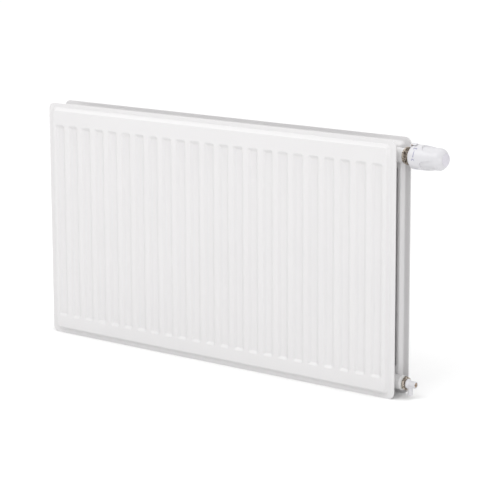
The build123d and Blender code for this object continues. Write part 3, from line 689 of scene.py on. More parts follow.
def sheet_tree(grooves, slope):
    """Tree that presses a closed sheet: rim, raised field and upright grooves."""
    board, size = start_tree("Pressed sheet", SHEET_INPUTS)
    half_length = size["Length"] / 2
    half_height = size["Height"] / 2
    soft = size["Press Radius"]
    land = (size["Pitch"] - size["Groove Width"]) / 2 - soft
    side = size["Groove Run"] + 2 * soft
    floor = size["Groove Width"] - 2 * size["Groove Run"] - 2 * soft
    across = [(1, land), (slope, side), (2, floor), (slope, side), (1, land)]
    period = sum(steps for steps, _ in across)
    whole = grooves * period / 2
    margin = 2 * slope
    columns = round(2 * (whole + margin))

    edge = size["Rim Height"] + size["Field Run"] + 2 * soft
    turn = size["Groove Corner"] + 2 * soft
    foot = size["Groove Foot"] - soft
    head = size["Groove Head"] - soft
    upright = [
        (margin, edge),
        (2, foot - edge),
        (slope + 4, turn),
        (4, size["Height"] - foot - head - 2 * turn),
        (slope + 4, turn),
        (2, head - edge),
        (margin, edge),
    ]
    rows = sum(steps for steps, _ in upright)

    # A sheet one step thick, with its columns and rows as whole numbers, is given its shape below.
    grid = lattice(board, columns, rows)
    lifted = board.add(
        "GeometryNodeExtrudeMesh", {"mode": "FACES"},
        {"Mesh": grid, "Offset": (0.0, 0.0, 1.0), "Offset Scale": 1.0, "Individual": False},
    )
    under = board.add("GeometryNodeFlipFaces", None, {"Mesh": grid})
    both = board.add("GeometryNodeJoinGeometry", None, {0: lifted})
    board.tree.links.new(under.socket, both.socket.node.inputs[0])
    closed = board.add("GeometryNodeMergeByDistance", None, {"Geometry": both, "Distance": 0.01})

    column, row, layer = board.parts(board.add("GeometryNodeInputPosition"))
    reach = abs(column)
    within = reach.least(whole) + period / 2
    cell = (within / period).whole().least((grooves - 1) / 2)
    x = size["Pitch"] * (cell - 0.5) + spans(board, within - cell * period, across)
    x = x + board.ramp(reach, whole, whole + margin, 0.0, half_length - grooves / 2 * size["Pitch"])
    x = x * column.sign()
    z = spans(board, row + rows / 2, upright) - half_height

    # The outline's corners: a square patch of the grid becomes a quarter disc.
    radius = size["Outline Radius"]
    corner_x = ((abs(x) - half_length + radius) / radius).most(0.0)
    corner_z = ((abs(z) - half_height + radius) / radius).most(0.0)
    pull_x = radius * corner_x * ((1 - corner_z * corner_z / 2).root() - 1)
    pull_z = radius * corner_z * ((1 - corner_x * corner_x / 2).root() - 1)
    x = x + x.sign() * pull_x
    z = z + z.sign() * pull_z

    field = rounded_inset(
        board, x, z, half_length - size["Rim Width"], half_height - size["Rim Height"],
        size["Field Corner"],
    )
    rise = size["Field Rise"] * soft_slope(board, field, size["Field Run"], soft)
    nearest = ((x / size["Pitch"] + 0.5).whole().least((grooves - 1) / 2)).most((1 - grooves) / 2)
    tall = size["Height"] - size["Groove Foot"] - size["Groove Head"]
    groove = rounded_inset(
        board,
        x - nearest * size["Pitch"],
        z - (size["Groove Foot"] - size["Groove Head"]) / 2,
        size["Groove Width"] / 2,
        tall / 2,
        size["Groove Corner"],
    )
    sunk = size["Groove Depth"] * soft_slope(board, groove, size["Groove Run"], soft)
    level = rise - sunk + size["Thickness"] * layer
    shaped = board.add(
        "GeometryNodeSetPosition", None,
        {
            "Geometry": closed,
            "Position": board.joined(
                x + size["Middle X"], size["Seam Y"] + size["Facing"] * level, z + half_height
            ),
        },
    )
    return end_tree(board, shaped, size["Material"])


class RADIATOR_OT_pressed_sheets(bpy.types.Operator):
    """Press the outer and inner sheets of both panels"""

    bl_idname = "radiator.pressed_sheets"
    bl_label = "Pressed sheets"

    def execute(self, context):
        size = context.scene.radiator_sheets
        width = FRONT_HIGH.x - FRONT_LOW.x
        grooves = round(width / size.groove_pitch) - 1
        tree = sheet_tree(grooves, size.slope_steps)
        shared = {name: getattr(size, name.lower().replace(" ", "_")) for name in PRESS_SIZES}
        shared["Middle X"] = PANEL_X
        shared["Length"] = width
        shared["Height"] = FRONT_HIGH.z - FRONT_LOW.z
        shared["Pitch"] = width / (grooves + 1)
        outer = {
            "Groove Depth": size.groove_depth,
            "Groove Foot": size.groove_foot,
            "Groove Head": size.groove_head,
        }
        inner = {
            "Groove Depth": size.inner_groove_depth,
            "Groove Foot": size.groove_foot + size.inner_setback,
            "Groove Head": size.groove_head + size.inner_setback,
        }
        sheets = (
            ("front_panel_outer_sheet", FRONT_HIGH.y, -1.0, outer),
            ("front_panel_inner_sheet", FRONT_HIGH.y, 1.0, inner),
            ("rear_panel_inner_sheet", REAR_LOW.y, -1.0, inner),
            ("rear_panel_outer_sheet", REAR_LOW.y, 1.0, outer),
        )
        enamel = finishes()["panel_enamel"]
        for node, seam, facing, grooving in sheets:
            values = {**shared, **grooving, "Seam Y": seam, "Facing": facing}
            piece = grown("pressed_" + node, tree, enamel, values)
            softened(piece, 0.3 * MM, 2, 60.0)
            hang(piece, "panel_enamel", [node])
        return {"FINISHED"}


# ---- tees and pipework ----
def cross_branch(name, place, half_gap, radius, collar):
    """Branch along Y with a flared foot, where it is welded, at each end."""
    flare = 3.0 * MM
    steps = 6
    foot = [
        (half_gap - flare * share / steps, radius + (collar - radius) * (1 - share / steps) ** 2)
        for share in range(steps + 1)
    ]
    other = [(-x, reach) for x, reach in reversed(foot)]
    outline = [(half_gap, 0.0), *foot, *other, (-half_gap, 0.0)]
    return turned(name, outline, place @ Matrix.Rotation(pi / 2, 4, "Z"))


def make_tee(node, place, pipes):
    """Tee with a lipped mouth at the place's origin, running inwards, and its cross branch."""
    reach = extent(node).x
    radius = pipes.tee_radius
    bore = pipes.thread_bore
    lip = pipes.tee_lip
    depth = 18.0 * MM
    outline = rounded(
        (-reach, 0.0),
        (-reach, radius, 1.2 * MM),
        (-4.2 * MM, radius),
        (-3.8 * MM, radius - lip),
        (-3.4 * MM, radius + lip),
        (0.0, radius + lip, 0.6 * MM),
        (0.0, bore, 0.4 * MM),
        (-depth, bore),
        (-depth, 0.0),
    )
    tee = turned("shaped_" + node, outline, place)
    branch = cross_branch(
        "branch", place @ Matrix.Translation((-pipes.cross_inset, 0.0, 0.0)),
        extent(node).y / 2, radius - 0.1 * MM, pipes.collar_radius,
    )
    combined(tee, branch, "UNION")
    return hang(tee, "panel_enamel", [node])


class RADIATOR_OT_tees(bpy.types.Operator):
    """Turn the four tees that join the panels"""

    bl_idname = "radiator.tees"
    bl_label = "Tees"

    def execute(self, context):
        pipes = context.scene.radiator_pipes
        make_tee("valve_tee", valve_place(VALVE_Z), pipes)
        make_tee("bottom_right_tee", valve_place(DRAIN_Z), pipes)
        make_tee("top_left_tee", left_place(VALVE_Z), pipes)
        make_tee("bottom_left_tee", left_place(DRAIN_Z), pipes)
        return {"FINISHED"}


def bent_tube(name, foot, corner, tip, radius, bend):
    """Tube from foot up to a corner, round a bend and on to its tip."""
    up = (corner - foot).normalized()
    on = (tip - corner).normalized()
    side = up.cross(on)
    centre = corner - up * bend + on * bend
    steps = 24
    stations = [(foot, up)]
    for step in range(steps + 1):
        turn = pi / 2 * step / steps
        stations.append((centre - on * bend * cos(turn) + up * bend * sin(turn),
                         up * cos(turn) + on * sin(turn)))
    stations.append((tip, on))
    rings = [[stations[0][0]] * TURNS]
    for spot, ahead in stations:
        out = ahead.cross(side)
        rings.append([spot + radius * (out * cos(a) + side * sin(a)) for a in ANGLES])
    rings.append([stations[-1][0]] * TURNS)
    return skin(name, rings)


def make_socket(node, pipes):
    """Upright threaded socket with a cross branch, mouth down."""
    low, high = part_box(node)
    spot = (low + high) / 2
    tall = high.z - low.z
    radius = (high.x - low.x) / 2
    depth, seat = 16.0 * MM, 8.0 * MM
    outline = rounded(
        (depth, 0.0),
        (depth, pipes.thread_bore),
        (0.0, pipes.thread_bore),
        (0.0, pipes.thread_bore + 0.01 * MM),
        (0.0, radius, 0.8 * MM),
        (tall, radius, 1.0 * MM),
        (tall, pipes.riser_radius, 0.3 * MM),
        (tall - seat, pipes.riser_radius),
        (tall - seat, 0.0),
    )
    upright = Matrix.Translation((spot.x, spot.y, low.z)) @ Matrix.Rotation(-pi / 2, 4, "Y")
    socket = turned("shaped_" + node, outline, upright)
    branch_height, branch_radius, collar = 26.0 * MM, 10.5 * MM, 11.5 * MM
    branch = cross_branch(
        "branch", Matrix.Translation((spot.x, spot.y, low.z + branch_height)),
        (high.y - low.y) / 2, branch_radius, collar,
    )
    combined(socket, branch, "UNION")
    return hang(socket, "panel_enamel", [node])


class RADIATOR_OT_connections(bpy.types.Operator):
    """Make the riser tube and the two connection sockets"""

    bl_idname = "radiator.connections"
    bl_label = "Riser and sockets"

    def execute(self, context):
        pipes = context.scene.radiator_pipes
        low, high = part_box("flow_riser_tube")
        radius = pipes.riser_radius
        foot = Vector((low.x + radius, GAP_Y, low.z))
        corner = Vector((low.x + radius, GAP_Y, VALVE_Z))
        tip = Vector((high.x, GAP_Y, VALVE_Z))
        tube = bent_tube("bent_riser_tube", foot, corner, tip, radius, pipes.riser_bend)
        hang(tube, "panel_enamel", ["flow_riser_tube"])
        make_socket("flow_socket", pipes)
        make_socket("return_tee", pipes)
        return {"FINISHED"}


class RADIATOR_OT_hanging_straps(bpy.types.Operator):
    """Bend the four hanging straps on the rear panel"""

    bl_idname = "radiator.hanging_straps"
    bl_label = "Hanging straps"

    def execute(self, context):
        low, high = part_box("hanging_straps")
        plate = context.scene.radiator_pipes.strap_plate
        size = context.scene.radiator_sheets
        span = size.groove_pitch + plate
        tall = 30.0 * MM
        bend = 3.2 * MM
        parts = []
        for left in (low.x, high.x - span):
            for foot in (low.z, high.z - tall):
                right = left + span
                outer = [(left, low.y), (left, high.y, bend), (right, high.y, bend), (right, low.y)]
                inner = [
                    (right - plate, low.y),
                    (right - plate, high.y - plate, bend - plate),
                    (left + plate, high.y - plate, bend - plate),
                    (left + plate, low.y),
                ]
                parts.append(capped(rounded(*outer) + rounded(*inner), foot, foot + tall))
        piece = joined("bent_hanging_straps", parts)
        softened(piece, 0.4 * MM, 3, 60.0)
        hang(piece, "panel_enamel", ["hanging_straps"])
        return {"FINISHED"}


def capped(outline, low, high):
    """Straight bar along Z of one outline (x, y), with flat ends."""
    count = len(outline)
    points = [Vector((x, y, z)) for z in (low, high) for x, y in outline]
    sides = [(i, (i + 1) % count, (i + 1) % count + count, i + count) for i in range(count)]
    return points, [*sides, tuple(reversed(range(count))), tuple(range(count, 2 * count))]


def joined(name, parts):
    """One piece from several separate closed bodies."""
    points, faces = [], []
    for spots, loops in parts:
        faces += [tuple(i + len(points) for i in loop) for loop in loops]
        points += [tuple(spot) for spot in spots]
    mesh = bpy.data.meshes.new(name)
    mesh.from_pydata(points, [], faces)
    return new_piece(name, tidy_mesh(mesh))


# ---- plugs ----
PLUG_BORE = 2.7 * MM
SCREW_STEM = 2.6 * MM  # radius of the drain and vent screws
SCREW_TIP = 1.2 * MM
SCREW_CONE = 3.5 * MM


def sealing_washer(node, place, plugs, bore):
    outer = extent(node).z / 2
    thick = plugs.washer
    outline = rounded(
        (thick / 2, bore),
        (0.0, bore, 0.3 * MM),
        (0.0, outer, 0.7 * MM),
        (thick, outer, 0.7 * MM),
        (thick, bore, 0.3 * MM),
        (thick / 2, bore),
    )
    washer = turned("turned_" + node, outline[:-1], place, loop=True)
    return hang(washer, "washer_nylon", [node])


def plug_shank(plugs, bore):
    """Rings of a plug's threaded end, its hexagon and its outer face."""
    thread = bore - 0.1 * MM
    face = plugs.washer + plugs.hex_height
    crests = thread_outline(-plugs.reach, plugs.washer, thread)
    rings = round_rings([(-plugs.reach, 0.0), *crests])
    return rings + prism(plugs.washer, face, plugs.hex_flats, 6), face


def thread_outline(start, end, crest, pitch=1.8 * MM):
    """Outline of a thread's crests and roots from start to end."""
    turns = int((end - start) / pitch)
    root = crest - 0.9 * MM
    outline = [(start, root)]
    for turn in range(turns):
        here = start + turn * pitch
        outline += [(here + 0.45 * pitch, crest), (here + 0.6 * pitch, crest)]
        outline += [(here + 0.95 * pitch, root)]
    return [*outline, (end, root)]


class RADIATOR_OT_plugs(bpy.types.Operator):
    """Turn the plugs of the drain, the vent and the blind end, with their washers"""

    bl_idname = "radiator.plugs"
    bl_label = "Plugs and washers"

    def execute(self, context):
        plugs = context.scene.radiator_plugs
        bore = context.scene.radiator_pipes.thread_bore
        low_right = valve_place(DRAIN_Z)
        low_left = left_place(DRAIN_Z)
        high_left = left_place(VALVE_Z)
        sealing_washer("drain_plug_washer", low_right, plugs, bore)
        sealing_washer("blanking_plug_washer", low_left, plugs, bore)
        sealing_washer("vent_plug_washer", high_left, plugs, bore)

        rings, face = plug_shank(plugs, bore)
        nose = mouth_span("drain_plug_body")[1]
        boss = 4.2 * MM
        drain_end = [
            (face, boss), (nose, boss), (nose, PLUG_BORE), (face, PLUG_BORE), (face, 0.0)
        ]
        drain = skin(
            "turned_drain_plug_body", rings + round_rings(drain_end), place=low_right
        )
        hang(softened(drain, 0.25 * MM), "nickel_brass", ["drain_plug_body"])

        nose = PANEL_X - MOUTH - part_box("vent_plug_body")[0].x
        boss = 6.0 * MM
        vent_end = rounded(
            (face, boss),
            (nose, boss, 0.7 * MM),
            (nose, PLUG_BORE, 0.2 * MM),
            (face, PLUG_BORE),
            (face, 0.0),
        )
        vent = skin(
            "turned_vent_plug_body", rings + round_rings(vent_end), place=high_left
        )
        hang(softened(vent, 0.25 * MM), "nickel_brass", ["vent_plug_body"])

        key_flats = 10.0 * MM
        key_depth = 6.0 * MM
        key = [
            ring_points(face, key_flats / 2 * 1.2),
            flat_sided_ring(face - 0.5 * MM, key_flats, 6, 0),
            flat_sided_ring(face - key_depth, key_flats, 6, 0),
            ring_points(face - key_depth, 0.0),
        ]
        blind = skin("turned_blanking_plug", rings + key, place=low_left)
        hang(softened(blind, 0.25 * MM), "nickel_brass", ["blanking_plug"])

        low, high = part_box("vent_screw")
        tip = PANEL_X - MOUTH - low.x - 1.5 * MM
        stem = PANEL_X - MOUTH - high.x
        head = tip - 3.5 * MM
        key_flats = 5.0 * MM
        square = [
            ring_points(stem, 0.0),
            ring_points(stem, SCREW_TIP),
            ring_points(stem + SCREW_CONE, SCREW_STEM),
            ring_points(head, SCREW_STEM),
            flat_sided_ring(head, key_flats, 4, 0),
            flat_sided_ring(tip, key_flats, 4, 0.7),
            ring_points(tip, key_flats / 2 * 0.98),
            ring_points(tip, 0.0),
        ]
        screw = skin("turned_vent_screw", square, place=high_left)
        hang(softened(screw, 0.2 * MM), "bare_brass", ["vent_screw"], "vent_screw")
        return {"FINISHED"}


# ---- drain spout ----
class RADIATOR_OT_drain_spout(bpy.types.Operator):
    """Mould the drain spout and turn the slotted screw in it"""

    bl_idname = "radiator.drain_spout"
    bl_label = "Drain spout"

    def execute(self, context):
        plugs = context.scene.radiator_plugs
        place = valve_place(DRAIN_Z)
        start, end = mouth_span("drain_spout")
        hub, barrel = plugs.hub_radius, plugs.barrel_radius
        hub_end = start + 2.5 * MM
        body = rounded(
            (start, 0.0),
            (start, hub, 0.5 * MM),
            (hub_end, hub, 0.9 * MM),
            (hub_end + hub - barrel, barrel, 1.4 * MM),
            (end - 2.6 * MM, barrel),
            (end - 2.3 * MM, barrel + 0.25 * MM),
            (end, barrel + 0.25 * MM, 0.7 * MM),
            (end, 0.0),
        )
        spout = turned("moulded_drain_spout", body, place)
        down_x = start + 5.5 * MM
        drop = DRAIN_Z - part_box("drain_spout")[0].z
        radius = plugs.spout_radius
        tube = rounded(
            (0.0, 0.0),
            (0.0, radius),
            (drop * 0.55, radius),
            (drop - 2.0 * MM, radius * 0.985),
            (drop, radius * 0.955, 0.5 * MM),
            (drop, 0.0),
        )
        downwards = place @ Matrix.Translation((down_x, 0.0, 0.0)) @ Matrix.Rotation(pi / 2, 4, "Y")
        combined(spout, turned("tube", tube, downwards), "UNION")
        with_modifier(spout, "REMESH", mode="VOXEL", voxel_size=0.24 * MM)
        with_modifier(spout, "SMOOTH", factor=0.5, iterations=7)
        outlet = radius - plugs.spout_wall
        bore = [(1.0 * MM, 0.0), (1.0 * MM, outlet), (drop + MM, outlet), (drop + MM, 0.0)]
        combined(spout, turned("bore", bore, downwards), "DIFFERENCE")
        seat = 4.26 * MM
        mouth = [(start - MM, 0.0), (start - MM, seat), (end + MM, seat), (end + MM, 0.0)]
        combined(spout, turned("mouth", mouth, place), "DIFFERENCE")
        hang(spout, "spout_plastic", ["drain_spout"], "drain_spout")

        stem, tip = mouth_span("drain_screw")
        head_start = mouth_span("drain_plug_body")[1] + 0.5 * MM
        head = extent("drain_screw").y / 2
        outline = rounded(
            (stem, 0.0),
            (stem, SCREW_TIP),
            (stem + SCREW_CONE, SCREW_STEM),
            (head_start, SCREW_STEM),
            (head_start, head, 0.3 * MM),
            (tip, head, 0.5 * MM),
            (tip, 0.0),
        )
        screw = turned("turned_drain_screw", outline, place)
        slot_width, slot_depth, past = 1.2 * MM, 2.0 * MM, 8.0 * MM
        slot = [
            (tip - slot_depth, -past), (tip + slot_depth, -past),
            (tip + slot_depth, past), (tip - slot_depth, past),
        ]
        cutter = joined("slot", [capped(slot, -slot_width / 2, slot_width / 2)])
        cutter.data.transform(place)
        combined(screw, cutter, "DIFFERENCE")
        hang(screw, "bare_brass", ["drain_screw"], "drain_screw")
        return {"FINISHED"}


# ---- valve insert and union nut ----
class RADIATOR_OT_valve_insert(bpy.types.Operator):
    """Turn the valve insert with its hexagon and threaded neck"""

    bl_idname = "radiator.valve_insert"
    bl_label = "Valve insert"

    def execute(self, context):
        place = valve_place(VALVE_Z)
        back, end = mouth_span("valve_insert_body")
        hexagon = mouth_span("head_union_nut")[0] - 0.3 * MM
        bore, gland = 2.06 * MM, 6.1 * MM
        gland_floor = end - 7.5 * MM
        neck = thread_outline(hexagon, end, 13.9 * MM, 1.5 * MM)
        inside = [(end, gland), (gland_floor, gland), (gland_floor, bore)]
        rings = round_rings([(back, bore), *thread_outline(back, -MM, 9.2 * MM)])
        rings += prism(0.0, hexagon, context.scene.radiator_head.insert_flats, 6)
        rings += round_rings([*neck, *inside])
        insert = skin("turned_valve_insert_body", rings, loop=True, place=place)
        hang(insert, "nickel_brass", ["valve_insert_body"])
        return {"FINISHED"}


NUT_INPUTS = ("Start X", "Axis Y", "Axis Z", "Radius", "Length", "Bore", "Hole", "Lip",
              "Chamfer", "Depth")


def knurled_nut_tree(points):
    """Tree that makes a ring nut with a diamond knurl between two plain chamfered ends."""
    board, size = start_tree("Knurled nut", NUT_INPUTS)
    fine = 10  # steps across each knurled point
    around = points * fine
    band = 3 * fine
    radius = size["Radius"]
    chamfer = size["Chamfer"]
    shoulder = radius - chamfer
    rise = [
        (1, shoulder - size["Bore"]), (2, chamfer), (band, 0.0), (2, 0.0 - chamfer),
        (1, size["Hole"] - shoulder), (1, 0.0), (1, size["Bore"] - size["Hole"]), (1, 0.0),
    ]
    along = [
        (1, 0.0), (2, chamfer), (band, size["Length"] - 2 * chamfer), (2, chamfer),
        (1, 0.0), (1, 0.0 - size["Lip"]), (1, 0.0), (1, size["Lip"] - size["Length"]),
    ]
    rows = sum(steps for steps, _ in rise)
    grid = lattice(board, around, rows)
    column, row, _ = board.parts(board.add("GeometryNodeInputPosition"))
    column = column + around / 2
    row = row + rows / 2
    one_way = abs(((column + row) / fine) % 1.0 - 0.5) * 2
    other_way = abs(((column - row) / fine) % 1.0 - 0.5) * 2
    on_band = board.ramp(row, 3, 5, 0.0, 1.0) * board.ramp(row, band + 1, band + 3, 1.0, 0.0)
    groove = (1 - one_way.least(other_way) * 1.5).most(0.0) * on_band
    angle = column * (tau / around)
    reach = size["Bore"] + spans(board, row, rise) - size["Depth"] * groove
    shaped = board.add(
        "GeometryNodeSetPosition", None,
        {
            # Painted shade: the knurl's grooves are stored as a mask that darkens the plating in them.
            "Geometry": board.add(
                "GeometryNodeStoreNamedAttribute",
                {"data_type": "FLOAT", "domain": "POINT"},
                {"Geometry": grid, "Name": "painted_knurl_shade", "Value": groove * 0.85},
            ),
            "Position": board.joined(
                size["Start X"] + spans(board, row, along),
                size["Axis Y"] + reach * angle.cosine(),
                size["Axis Z"] + reach * angle.sine(),
            ),
        },
    )
    return end_tree(board, shaped, size["Material"])


class RADIATOR_OT_union_nut(bpy.types.Operator):
    """Knurl the union nut that holds the head"""

    bl_idname = "radiator.union_nut"
    bl_label = "Union nut"

    def execute(self, context):
        size = context.scene.radiator_head
        low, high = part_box("head_union_nut")
        spot = middle("head_union_nut")
        values = {
            "Start X": low.x,
            "Axis Y": spot.y,
            "Axis Z": spot.z,
            "Radius": (high.z - low.z) / 2,
            "Length": high.x - low.x,
            "Bore": 14.0 * MM,
            "Hole": 12.4 * MM,
            "Lip": 1.5 * MM,
            "Chamfer": 0.7 * MM,
            "Depth": size.knurl_depth,
        }
        tree = knurled_nut_tree(size.knurls)
        nut = grown("knurled_union_nut", tree, finishes()["nickel_brass"], values)
        hang(nut, "nickel_brass", ["head_union_nut"])
        return {"FINISHED"}


# ---- thermostatic head ----
class RADIATOR_OT_head_base(bpy.types.Operator):
    """Mould the head's fixed base with its pointer, and the limiter pin in it"""

    bl_idname = "radiator.head_base"
    bl_label = "Head base"

    def execute(self, context):
        size = context.scene.radiator_head
        place = valve_place(VALVE_Z)
        start, sleeve_end = mouth_span("head_base")
        nut_end = mouth_span("head_union_nut")[1]
        collar_end = mouth_span("handwheel")[0] - 0.5 * MM
        bore, flange, neck, collar = 8.0 * MM, 13.9 * MM, 12.3 * MM, 17.0 * MM
        sleeve, sleeve_bore = 14.0 * MM, 12.0 * MM
        flange_end = nut_end - 1.55 * MM
        collar_start = nut_end + 0.05 * MM
        outline = rounded(
            (start, bore),
            (start, flange),
            (flange_end, flange),
            (flange_end, neck),
            (collar_start, neck),
            (collar_start, collar, 0.7 * MM),
            (collar_end, collar, 0.35 * MM),
            (collar_end, sleeve, 0.2 * MM),
            (sleeve_end, sleeve, 0.3 * MM),
            (sleeve_end, sleeve_bore, 0.3 * MM),
            (collar_end, sleeve_bore),
            (collar_end, bore),
        )
        base = turned("moulded_head_base", outline, place, loop=True)

        rim = extent("handwheel").z / 2 + 2.1 * MM
        plate = 1.5 * MM
        half = 4.0 * MM
        reach = 9.5 * MM
        root = 14.4 * MM
        back = nut_end + 0.2 * MM
        side = [
            (back, root),
            (back, rim, 1.2 * MM),
            (collar_end + reach, rim, 0.6 * MM),
            (collar_end + reach, rim - plate, 0.5 * MM),
            (collar_end, rim - plate, 0.5 * MM),
            (collar_end, root),
        ]
        pointer = joined("pointer", [capped(rounded(*side), -half, half)])
        turn = Matrix.Rotation(size.pointer_angle, 4, "X")
        pointer.data.transform(place @ turn)
        softened(pointer, 0.45 * MM, 3, 60.0)
        combined(base, pointer, "UNION")
        hang(base, "head_plastic", ["head_base"])

        depth, pin_radius, button, button_height = 3.0 * MM, 0.5 * MM, 1.1 * MM, 1.0 * MM
        shank = rounded(
            (-depth, 0.0),
            (-depth, pin_radius, 0.1 * MM),
            (0.0, pin_radius),
            (0.0, button),
            (button_height, button, 0.3 * MM),
            (button_height, 0.0),
        )
        flank = Matrix.Translation((collar_end + 1.9 * MM, rim - plate / 2, half))
        outwards = Matrix.Rotation(-pi / 2, 4, "Y")
        pin = turned("turned_limiter_pin", shank, place @ turn @ flank @ outwards)
        hang(pin, "limiter_plastic", ["limiter_pin"])
        return {"FINISHED"}


def smoothstep(value):
    value = np.clip(value, 0.0, 1.0)
    return value * value * (3.0 - 2.0 * value)


def hermite(x, start, end, heights, slopes):
    """Curve between two heights that leaves and arrives with the given slopes."""
    span = end - start
    t = (x - start) / span
    return (
        heights[0] * (1 + 2 * t) * (1 - t) ** 2
        + slopes[0] * span * t * (1 - t) ** 2
        + heights[1] * t * t * (3 - 2 * t)
        + slopes[1] * span * t * t * (t - 1)
    )


def wheel_radius(x, full, nose, reach):
    """Radius of the handwheel's body at a distance from its open end."""
    straight, bulge, bulge_radius = 13.0 * MM, 41.0 * MM, full - 2.0 * MM
    lean, drop = -0.185, -1.613
    if x <= straight:
        return full
    if x <= bulge:
        return hermite(x, straight, bulge, (full, bulge_radius), (0.0, lean))
    return hermite(x, bulge, reach, (bulge_radius, nose), (lean, drop))


def scooped(rings, centre_angles, size, reach):
    """The wheel's outer rings with blunt finger recesses that widen and fade towards the nose."""
    half = size.scoop_width / 2
    blunt, level, edge = 9.0 * MM, 8.0 * MM, 0.5 * MM
    for ring in rings:
        along = ring[:, 0] - size.scoop_start
        radius = np.hypot(ring[:, 1], ring[:, 2])
        angle = np.arctan2(ring[:, 2], ring[:, 1])
        for centre in centre_angles:
            aside = ((angle - centre + pi) % tau - pi) * radius
            widening = half * (1.0 + 0.25 * smoothstep((along - blunt) / (reach - blunt)))
            tip = half * (1.0 - np.hypot((blunt - along) / blunt, aside / half))
            inset = np.where(along < blunt, tip, widening - np.abs(aside))
            fade = 1.0 - smoothstep((along - level) / (0.5 * reach))
            dish = 0.88 + 0.12 * smoothstep(inset / half)
            depth = size.scoop_depth * smoothstep(inset / edge) * fade * dish
            depth = np.where(along > 0, depth, 0.0)
            ring[:, 1] -= depth * np.cos(angle)
            ring[:, 2] -= depth * np.sin(angle)
    return rings


class RADIATOR_OT_handwheel(bpy.types.Operator):
    """Mould the handwheel with its finger recesses, and the cap in its nose"""

    bl_idname = "radiator.handwheel"
    bl_label = "Handwheel and cap"

    def execute(self, context):
        size = context.scene.radiator_head
        low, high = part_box("handwheel")
        full = (high.z - low.z) / 2
        reach = high.x - low.x
        nose = 11.0 * MM
        mouth = 14.3 * MM
        wall = 2.0 * MM
        corner = 3.2 * MM
        start = mouth_span("handwheel")[0]
        place = valve_place(VALVE_Z) @ Matrix.Translation((start, 0.0, 0.0))
        around = 320
        angles = np.arange(around) * tau / around
        end_face = rounded(
            (wall, mouth),
            (0.0, mouth, 0.3 * MM),
            (0.0, full, corner),
            (corner * 2, full),
            step=8.0,
        )
        before, beyond = size.scoop_start - 1.0 * MM, size.scoop_start + 12.0 * MM
        brink = reach - 2.5 * MM
        stations = [
            *np.linspace(corner * 2.2, before, 12, endpoint=False),
            *np.linspace(before, beyond, 30, endpoint=False),
            *np.linspace(beyond, brink, 46, endpoint=False),
            *np.linspace(brink, reach - 0.4 * MM, 5),
        ]
        side = [(x, wheel_radius(x, full, nose, reach)) for x in stations]
        outer = [ring_points(x, radius, angles) for x, radius in [*end_face, *side]]
        centres = [size.pointer_angle + tau * turn / 3 for turn in range(3)]
        outer = scooped(outer, centres, size, reach - size.scoop_start)
        seat = nose - 1.0 * MM
        inside = [
            (reach, nose - 0.3 * MM),
            (reach, seat),
            (reach - 2.2 * MM, seat),
        ]
        inner_x = np.linspace(reach - 3.0 * MM, 8.0 * MM, 12)
        inside += [(x, wheel_radius(x, full, nose, reach) - wall - size.scoop_depth)
                   for x in inner_x]
        inside += [(wall, inside[-1][1])]
        inner = [ring_points(x, radius, angles) for x, radius in inside]
        wheel = skin("moulded_handwheel", outer + inner, loop=True, place=place, crease=50.0)
        hang(wheel, "head_plastic", ["handwheel"], "handwheel")

        start, tip = mouth_span("handwheel_end_cap")
        rim = nose - 0.05 * MM
        face = tip - 3.2 * MM
        dome_start = face + 0.7 * MM
        height = tip - dome_start
        ball = (rim * rim + height * height) / (2 * height)
        dome = [
            (tip - ball + ball * cos(turn), ball * sin(turn))
            for turn in np.linspace(np.arcsin(rim / ball), 0.0, 26)
        ]
        outline = [(start, 0.0), (start, rim - 1.0 * MM), (face, rim - 1.0 * MM), (face, rim)]
        cap = turned("moulded_end_cap", outline + dome, valve_place(VALVE_Z), crease=60.0)
        hang(cap, "cap_plastic", ["handwheel_end_cap"], "handwheel")
        return {"FINISHED"}


def dial_bar(radius, rise, start, end, thick, thin, place):
    """Tapered bar bent round the dial from its thick end to its thin end."""
    steps = 24
    rings = []
    for step in range(steps + 1):
        share = step / steps
        angle = start + (end - start) * share
        half = (thick * (1 - share) + thin * share) / 2
        corners = [(-half, -rise), (half, -rise), (half, rise), (-half, rise)]
        rings.append(
            [place @ Vector((x, (radius + out) * cos(angle), (radius + out) * sin(angle)))
             for x, out in corners]
        )
    points = [point for ring in rings for point in ring]
    faces = [(0, 1, 2, 3), tuple(4 * steps + corner for corner in (3, 2, 1, 0))]
    for step in range(steps):
        base = 4 * step
        faces += [(base + a, base + (a + 1) % 4, base + 4 + (a + 1) % 4, base + 4 + a)
                  for a in range(4)]
    return points, faces


def printed_digit(text, height, radius, rise, angle, place):
    """Number bent round the dial, its foot towards the nose and read going up the dial."""
    drawing = bpy.data.curves.new("digit_" + text, "FONT")
    drawing.body = text
    drawing.size = height / 0.7
    drawing.align_x = "CENTER"
    drawing.align_y = "CENTER"
    drawing.extrude = 1.0 * MM
    drawing.offset = 0.12 * MM
    drawing.resolution_u = 6
    letter = new_piece("digit", drawing)
    bpy.context.view_layer.update()
    mesh = plain_mesh(letter)
    bpy.data.objects.remove(letter)
    spots = np.array([vertex.co for vertex in mesh.vertices])
    centre = (spots.min(axis=0) + spots.max(axis=0)) / 2
    bent = []
    for x, y, z in spots - centre:
        turn = angle - x / radius
        reach = radius + (rise if z > 0 else -rise)
        bent.append(place @ Vector((-y, reach * cos(turn), reach * sin(turn))))
    faces = [tuple(polygon.vertices) for polygon in mesh.polygons]
    return bent, faces


